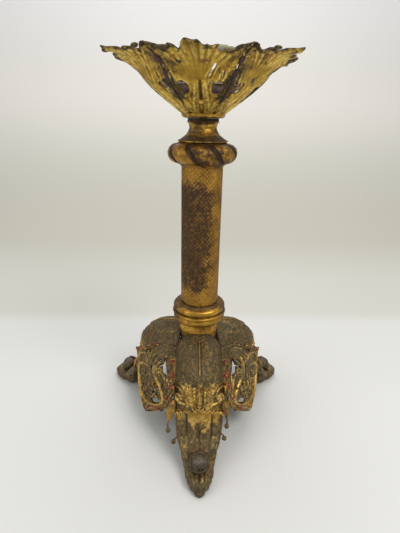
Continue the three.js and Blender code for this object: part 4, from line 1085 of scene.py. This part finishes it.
def panel_gold(U, V):
    _, Q, A, _ = panel_place(U, V)
    ring = (frame_ring(A, Q) - 1) * RING_WIDTH
    g = 0.30 + 0.55 * smooth(3.4, 1.2, np.abs(ring)) * smooth(48, 54, Q) - 0.10 * smooth(-2.5, -5, ring)
    g = g + 0.22 * smooth(40, 60, Q) * np.sin(A * 1.3 + Q * 0.9) * np.sin(Q * 1.1 - A * 0.5)
    return g + 0.2 * smooth(86, 98, Q) - 0.16 * smooth(40, 22, Q) + 0.12 * smooth(3, 1, panel_border(U, V))


panel_cells = ((180, 190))
panel = shell(panel_surface, PANEL_WALL, panel_cells, panel_inside, panel_relief, panel_gold, back=0.25, full=2.5)


def panel_point(u, v, lift=0.0):
    V = np.array([float(v)])
    U = float(u) * panel_station(V)[..., 2] / panel_wide(V)
    p, n = panel_surface(U, V)[0], outward(panel_surface, U, V)[0]
    return p + lift * n, n


def berry(u, v):
    p = panel_point(u, v)[0] + np.array([0, 0.6 * 2.6, -0.6 * 2.8])
    up = np.array([0, 0, 1.0])
    return [
        tube([p + 4 * up, p + up], 1.3, 8, 0.2, 0.4), blob(p, (2.8, 2.8, 3.0), gold=0.1),
        ring_bar(p + 2.2 * up, 1.4, 0.6, up, 0.5, 8, 16),
    ]


def panel_trim():
    parts = berry(0, 1) + berry(1, 0.79) + berry(-1, 0.79)
    parts.append(blob((0, -39.0, 116.6), (6.0, 4.2, 3.4), gold=0.16, relief=0.4, segments=24))
    for side in (-1, 1):
        base, n = panel_point(side * 0.93, 3.0 / 7)
        parts.append(teardrop(base, base + np.array([side * 5.5, -3.5, 3.0]), 3.4, 1.2, n, 0.35, 10))
        low, n = panel_point(side * 0.96, 0.52)
        parts.append(teardrop(low, low + np.array([side * 2.6, -1.0, -8.0]), 2.2, 1.0, n, 0.5, 10))
    return parts


STONE_PLACES = [("low", 0.0, 0.93)]  # label, and place across and along the panel
for side, letter in ((-1, "a"), (1, "b")):
    for k, v in enumerate((0.14, 0.27, 0.41, 0.58, 0.79)):
        half = float(panel_station(np.array([v]))[0, 2])
        STONE_PLACES.append((f"{letter}{k + 1}", side * (half - 5.8) / half, v))


def stone(u, v, along=3.4, across=3.0, rise=2.6):
    """A domed stone and the thin collet that holds it."""
    p, n = panel_point(u, v, 0.3)
    d = unit(panel_point(u, v + 1e-3, 0.3)[0] - p)
    e = np.cross(n, d)
    a, b = circle(28)[:, None], circle(8)[None]
    radial = (along + 0.7) * np.cos(a) * d + (across + 0.7) * np.sin(a) * e
    rings = hoops(p + 0.9 * n + radial, unit(radial), n, 0.75 * np.cos(b), 1.1 * np.sin(b))
    return (
        blob(p + 0.6 * n, (along, across, rise), np.array([d, e, n]), 20, power=0.8),
        rings_solid(rings, 0.7, 0.55, closed=True),
    )


settings = [stone(u, v) for _, u, v in STONE_PLACES]
for side in (-1, 1):
    for q, share in ((28, 0.86), (40.5, 0.88), (66, 0.84), (97, 0.62)):
        settings.append(stone(side * share, v_at(panel_length, q), 2.4, 2.2, 1.8))
stones, collets = (list(kind) for kind in zip(*settings))
trim = panel_trim()
for k, name in enumerate(PANEL_NAMES):
    azimuth = 60 + 120 * k
    emit(f"panel_{name}", panel, ROOF, azimuth=azimuth, replaces=[f"side_panel_{name}"])
    emit(f"trim_{name}", trim, ROOF, azimuth=azimuth)
    emit(f"collets_{name}", collets, ROOF, azimuth=azimuth)
    nodes = [f"stone_{name}_{label}" for label, _, _ in STONE_PLACES]
    emit(f"stones_{name}", stones, GLASS, azimuth=azimuth, replaces=nodes)


# ---------------------------------------------------------------- column
def arc(cr, cz, radius, start, end, steps):
    turns = np.radians(np.linspace(start, end, steps))
    return [(cr + radius * math.cos(a), cz + radius * math.sin(a)) for a in turns]


def from_front(A, middle=0):
    """Degrees from the front, or from another direction, to the right or the left."""
    return np.abs((A - middle + 180) % 360 - 180)


def right_side(A):
    """1 on the side of the column that kept its gilding, which faces right and a little forward."""
    return smooth(66, 14, from_front(A, 62))


hub = turned(
    [
        (4.3, 127), (26.5, 127), (26.5, 145), (28.4, 146.4), (27.6, 149), (26.6, 152), (26.5, 156), (27.3, 158.4),
        (26.5, 160), (15, 160), (15, 165), (11, 165), (11, 156), (22.5, 156), (22.5, 133), (4.3, 133),
    ],
    # gilding fades from the front to the sides: a painted highlight on the side facing the camera
    gold=lambda A, Z: np.where(Z > 144, 0.74, 0.2) - 0.3 * smooth(40, 90, from_front(A)),
    # the top chamfer just under the ring is painted dark: painted shade between the collar and the ring
    tone=lambda A, Z: np.where(Z > 158.6, 0.0, 0.6),
)
emit("collar", hub, GILT, replaces=["base_hub"])

ring = turned(
    [
        (15.3, 160.3), (33, 160.3), (33.6, 161.3), (35.2, 162.3), (35.9, 164), (36.0, 167.8), (35.5, 168.9),
        (34.6, 169.5), (35.0, 170.1), (36.6, 170.4), (37.2, 171.6), (37.2, 172.8), (36.6, 173.8), (35.0, 174.2),
        (34.2, 174.9), *arc(31.5, 179.8, 4.7, -48, 96, 14), (30.2, 184.7), (29.7, 185.4), (28.9, 186.9),
        (27.6, 187.3), (25.8, 187.3), (25.8, 176.3), (19.3, 176.3), (19.3, 168.3), (15.3, 168.3),
    ],
    segments=128,
    # gilding only towards the front is a painted highlight on the side facing the camera, and the dull band above z
    # 184.6 is painted shade where the ring meets the shaft
    gold=lambda A, Z: np.where(Z < 184.6, 0.92, -0.1) - 0.9 * smooth(36, 78, from_front(A)),
    # the two dark lines at z 169.6 and 174.9 are painted shade in the grooves
    tone=lambda A, Z: np.where(np.abs(Z - 174.9) < 0.8, 0.0, np.where(np.abs(Z - 169.6) < 0.6, 0.05, 0.62)),
)
emit("ring", ring, GILT, replaces=["base_ring"])


SHAFT_RADIUS = 25.5
LATTICE_PITCH = 3.7


def lattice(A, Z):
    """A crosshatch of raised lines at both slants, a whole number of times round the shaft."""
    diagonal = LATTICE_PITCH * math.sqrt(2)
    x = np.radians(A) * round(2 * math.pi * SHAFT_RADIUS / diagonal) * diagonal / (2 * math.pi)
    a, b = (x + Z) / diagonal, (x - Z) / diagonal
    da, db = np.abs(a - np.round(a)), np.abs(b - np.round(b))
    return 0.55 * np.maximum(smooth(0.2, 0.06, da), smooth(0.2, 0.06, db)) * window(Z, 187.5, 189.5, 369.0, 371.0)


def shaft_ends(Z):
    return np.maximum(smooth(226, 190, Z), smooth(338, 368, Z))


shaft = turned(
    [(25.2, z, 1) for z in np.linspace(176.7, 375, 300)] + [(23.9, 375), (23.9, 176.7)],
    segments=264,
    relief=lattice,
    gold=lambda A, Z: 0.10 + 0.66 * right_side(A) + 0.85 * shaft_ends(Z),
    # the raised lattice lines take the painted highlight, and the low ground between them takes part of the painted
    # shade
    tone=lambda A, Z: 0.16 + 0.16 * shaft_ends(Z) + 1.25 * lattice(A, Z),
)
emit("shaft", shaft, BROWN, replaces=["shaft_tube"])


KNOP_LEAVES = 8
KNOP_MIDDLE = 385.7
KNOP_SLANT = 1.05  # degrees a millimetre of height
KNOP_GILDING = np.array([0.26, 0.42, 0.40, 0.30, 0.35, 0.45, 0.5, 0.85])


def knop_turn(A, Z):
    """How far across its wrapped leaf a place on the knop is, and which leaf that is."""
    t = (A + (Z - KNOP_MIDDLE) * KNOP_SLANT + 20) / 360 * KNOP_LEAVES
    return t % 1.0, np.floor(t).astype(int) % KNOP_LEAVES


def knop_relief(A, Z):
    """Broad leaves wrapped on a slant, each with a groove on one side, a low middle rib and fine veins."""
    t, _ = knop_turn(A, Z)
    leafy = smooth(0.0, 0.16, t) * smooth(1.0, 0.80, t) ** 0.7
    rib = 0.22 * bell((t - 0.5) / 0.06)
    veins = 0.07 * np.sin(np.abs(t - 0.5) * 60 + Z * 1.3) * window(t, 0.1, 0.25, 0.8, 0.95)
    return 3.0 * (leafy * 0.9 + rib + veins) - 1.6


def knop_gold(A, Z):
    t, which = knop_turn(A, Z)
    return KNOP_GILDING[which] * (0.55 + 0.6 * window(t, 0.1, 0.45, 0.7, 1.0))


def knop_profile():
    low, top = 371.3, 398.5
    points = [(4.3, 389.5), (20.9, 389.5), (20.9, 375.3), (25.8, 375.3), (25.8, low), (27.2, low), (27.6, 372.4)]
    for a in np.linspace(-78, 78, 34):
        c, s = math.cos(math.radians(a)), math.sin(math.radians(a))
        points.append((28.8 + 12.0 * c**0.9, KNOP_MIDDLE + 11.4 * s, min(1, 2.2 * c)))
    return points + [(29.6, top - 0.6), (28.8, top), (4.3, top)]


knop = turned(knop_profile(), segments=216, relief=knop_relief, gold=knop_gold)
emit("knop_leaves", knop, BROWN, replaces=["knop"])

neck_out = through([(29.3, 398.8), (28.9, 400.6), (20.6, 406.7), (16.6, 413.6), (17.2, 418.6), (19.4, 421.2)])
neck_points = [(4.3, 398.8), (29.0, 398.8), (30.2, 399.6), (30.0, 400.7)]
neck_points += list(neck_out(np.linspace(0, 1, 40)))[8:]


def neck_wear_and_shadow(A, Z):
    """Where the gilding of the neck is worn away, in patches on its sides, and a dark run under the cup at the
    front that is painted shadow.
    """
    # painted shadow under the cup's lip, at the front
    spots = smooth(417.6, 419.8, Z) * smooth(50, 30, from_front(A, 4))
    for a, z, wide, tall in ((-24, 410.0, 18, 1.6), (-22, 414.0, 13, 1.3), (60, 411, 12, 3), (-80, 413, 16, 4)):
        spots = np.maximum(spots, smooth(1.25, 0.75, np.hypot(from_front(A, a) / wide, (Z - z) / tall)))
    return spots


neck = turned(
    neck_points + [(18.6, 422.0), (18.6, 425.2), (4.3, 425.2)],
    # gilding and tone drop to nothing above z 421.4: painted shadow under the cup's lip
    gold=lambda A, Z: 0.54 - 0.6 * smooth(408, 403, Z) + 0.7 * smooth(400.9, 400.2, Z)
    - 1.2 * smooth(421.4, 421.8, Z) - neck_wear_and_shadow(A, Z),
    tone=lambda A, Z: np.where(Z > 421.6, 0.0, np.where((Z > 401) & (Z < 404.5), 0.22, 0.6)),
)
emit("waist", neck, GILT, replaces=["neck"])


cup = turned(
    [
        (4.3, 425.3), (21.0, 425.3), (23.4, 425.7, 0.2), (24.6, 426.6, 0.4), (25.2, 427.8, 1), (25.5, 429.0, 1),
        (25.4, 430.0, 1), (24.7, 430.3, 0.5), (24.0, 430.3), (20.6, 427.3), (4.3, 427.3),
    ],
    relief=lambda A, Z: 0.5 * np.cos(np.radians(A * 12)) * smooth(426, 428, Z),
    # below z 426 the cup takes no gilding and the lowest tone: painted shadow under its lip
    gold=lambda A, Z: np.where(Z < 426.0, -0.2, 0.7),
    tone=lambda A, Z: np.where(Z < 426.0, 0.0, 0.6),
)
emit("cup", cup, GILT, replaces=["leaf_cup"])

# ---------------------------------------------------------------- drip pan, spike and fastenings
pan = turned(
    [
        (5.6, 447.7), (29.4, 447.7), (31.6, 448.1), (34.0, 449.9), (35.3, 453), (36.2, 456.6), (36.9, 458.6),
        (38.1, 459.2), (38.2, 459.7), (37.4, 460.0), (36.2, 459.6), (35.2, 457.6), (33.9, 453.4), (32.6, 450.9),
        (30.6, 449.6), (29, 449.1), (5.6, 449.1),
    ],
)
emit("pan", pan, TIN, replaces=["drip_pan"], body="drip_pan")
spike = turned(
    [
        (0, 441.7), (4.3, 441.7), (4.3, 432.4), (9.4, 432.4), (10, 433.2), (10, 435), (9.2, 436), (9.2, 443.6),
        (10, 444.6), (10, 446.8), (9.6, 447.4), (5, 447.4), (5, 449.9), (4.4, 453), (3.6, 461), (2.75, 470.2),
        (1.5, 478), (0.35, 485.0), (0, 485.4),
    ],
    segments=48,
)
emit("spike", spike, IRON, replaces=["candle_spike"])
for name, material in (("leaf_clamp_disc", BROWN), ("tie_rod", IRON), ("rod_washer", IRON), ("rod_nut", IRON)):
    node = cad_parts[name]
    node.data.materials.clear()
    node.data.materials.append(material)


# ---------------------------------------------------------------- sweep, light and camera
def sweep():
    """The floor that curves up into the wall, in metres."""
    start, radius = 0.35, 1.5
    rows = [(-2.2, 0), (start, 0)]
    turns = np.linspace(0.05, math.pi / 2, 24)
    rows += [(start + radius * math.sin(a), radius - radius * math.cos(a)) for a in turns]
    rows += [(start + radius, 4.0)]
    mesh = bpy.data.meshes.new("sweep")
    points = [(x, y, z) for y, z in rows for x in (-4, 4)]
    mesh.from_pydata(points, [], [(2 * k, 2 * k + 1, 2 * k + 3, 2 * k + 2) for k in range(len(rows) - 1)])
    mesh.polygons.foreach_set("use_smooth", np.ones(len(mesh.polygons), bool))
    n = Nodes("sweep")
    height = n.add("ShaderNodeSeparateXYZ")
    n.join(n.place, height.inputs[0])
    # the backdrop's colour is painted darker where the wall leaves the floor and lighter towards the top: a painted
    # light gradient
    colour = n.mix(n.span(height.outputs["Y"], 0.27, 0.33), (208, 208, 206), (199, 198, 191))
    for low, high, tint in (
        (0.0, 0.05, (187, 186, 175)), (0.05, 0.60, (227, 225, 220)), (0.55, 1.1, (245, 243, 246)),
    ):
        colour = n.mix(n.span(height.outputs["Z"], low, high), colour, tint)
    n.join(colour, n.shader.inputs["Base Color"])
    n.shader.inputs["Roughness"].default_value = 0.9
    n.shader.inputs["Specular IOR Level"].default_value = 0.1
    mesh.materials.append(n.material)
    piece = bpy.data.objects.new("sweep", mesh)
    bpy.context.scene.collection.objects.link(piece)


sweep()


LIGHTS = [  # name, place, target, size, power and colour
    ("key", (0.75, -0.85, 1.55), (0, 0, 0.2), 0.9, 17, (1.0, 0.985, 0.95)),
    ("fill", (-1.3, -0.7, 1.1), (0, 0, 0.2), 1.2, 7, (0.97, 0.985, 1.0)),
    ("top", (0.0, 0.5, 1.9), (0, 0.1, 0.1), 1.4, 14, (1, 1, 1)),
]
for name, where, target, size, power, colour in LIGHTS:
    light = bpy.data.lights.new(name, "AREA")
    light.shape = "DISK"
    light.size, light.energy, light.color = size, power, colour
    lamp = bpy.data.objects.new(name, light)
    lamp.location = where
    lamp.rotation_mode = "QUATERNION"
    lamp.rotation_quaternion = (Vector(target) - Vector(where)).to_track_quat("-Z", "Y")
    bpy.context.scene.collection.objects.link(lamp)

world = bpy.data.worlds.new("room")
world.use_nodes = True
background = world.node_tree.nodes["Background"].inputs
background["Color"].default_value = (0.93, 0.93, 0.9, 1)
background["Strength"].default_value = 0.55
scene = bpy.context.scene
scene.world = world
scene.view_settings.view_transform = "Standard"

LENS = 24.99  # 370 pixels of focal length on a frame 533 high
PITCH, HEADING, ROLL = math.radians(21.9), math.radians(2.0), math.radians(1.3)
EYE = (-0.0164, -0.4467, 0.4256)
camera = bpy.data.cameras.new("camera")
camera.sensor_fit = "VERTICAL"
camera.sensor_height = 36
camera.lens = LENS
camera.clip_start = 0.01
eye = bpy.data.objects.new("camera", camera)
scene.collection.objects.link(eye)
forward = Vector((math.sin(HEADING) * math.cos(PITCH), math.cos(HEADING) * math.cos(PITCH), -math.sin(PITCH)))
right = Vector((math.cos(HEADING), -math.sin(HEADING), 0))
upward = right.cross(forward)
rolled_right = right * math.cos(ROLL) + upward * math.sin(ROLL)
rolled_up = upward * math.cos(ROLL) - right * math.sin(ROLL)
pose = Matrix((rolled_right, rolled_up, -forward)).transposed().to_4x4()
pose.translation = Vector(EYE)
eye.matrix_world = pose
scene.camera = eye
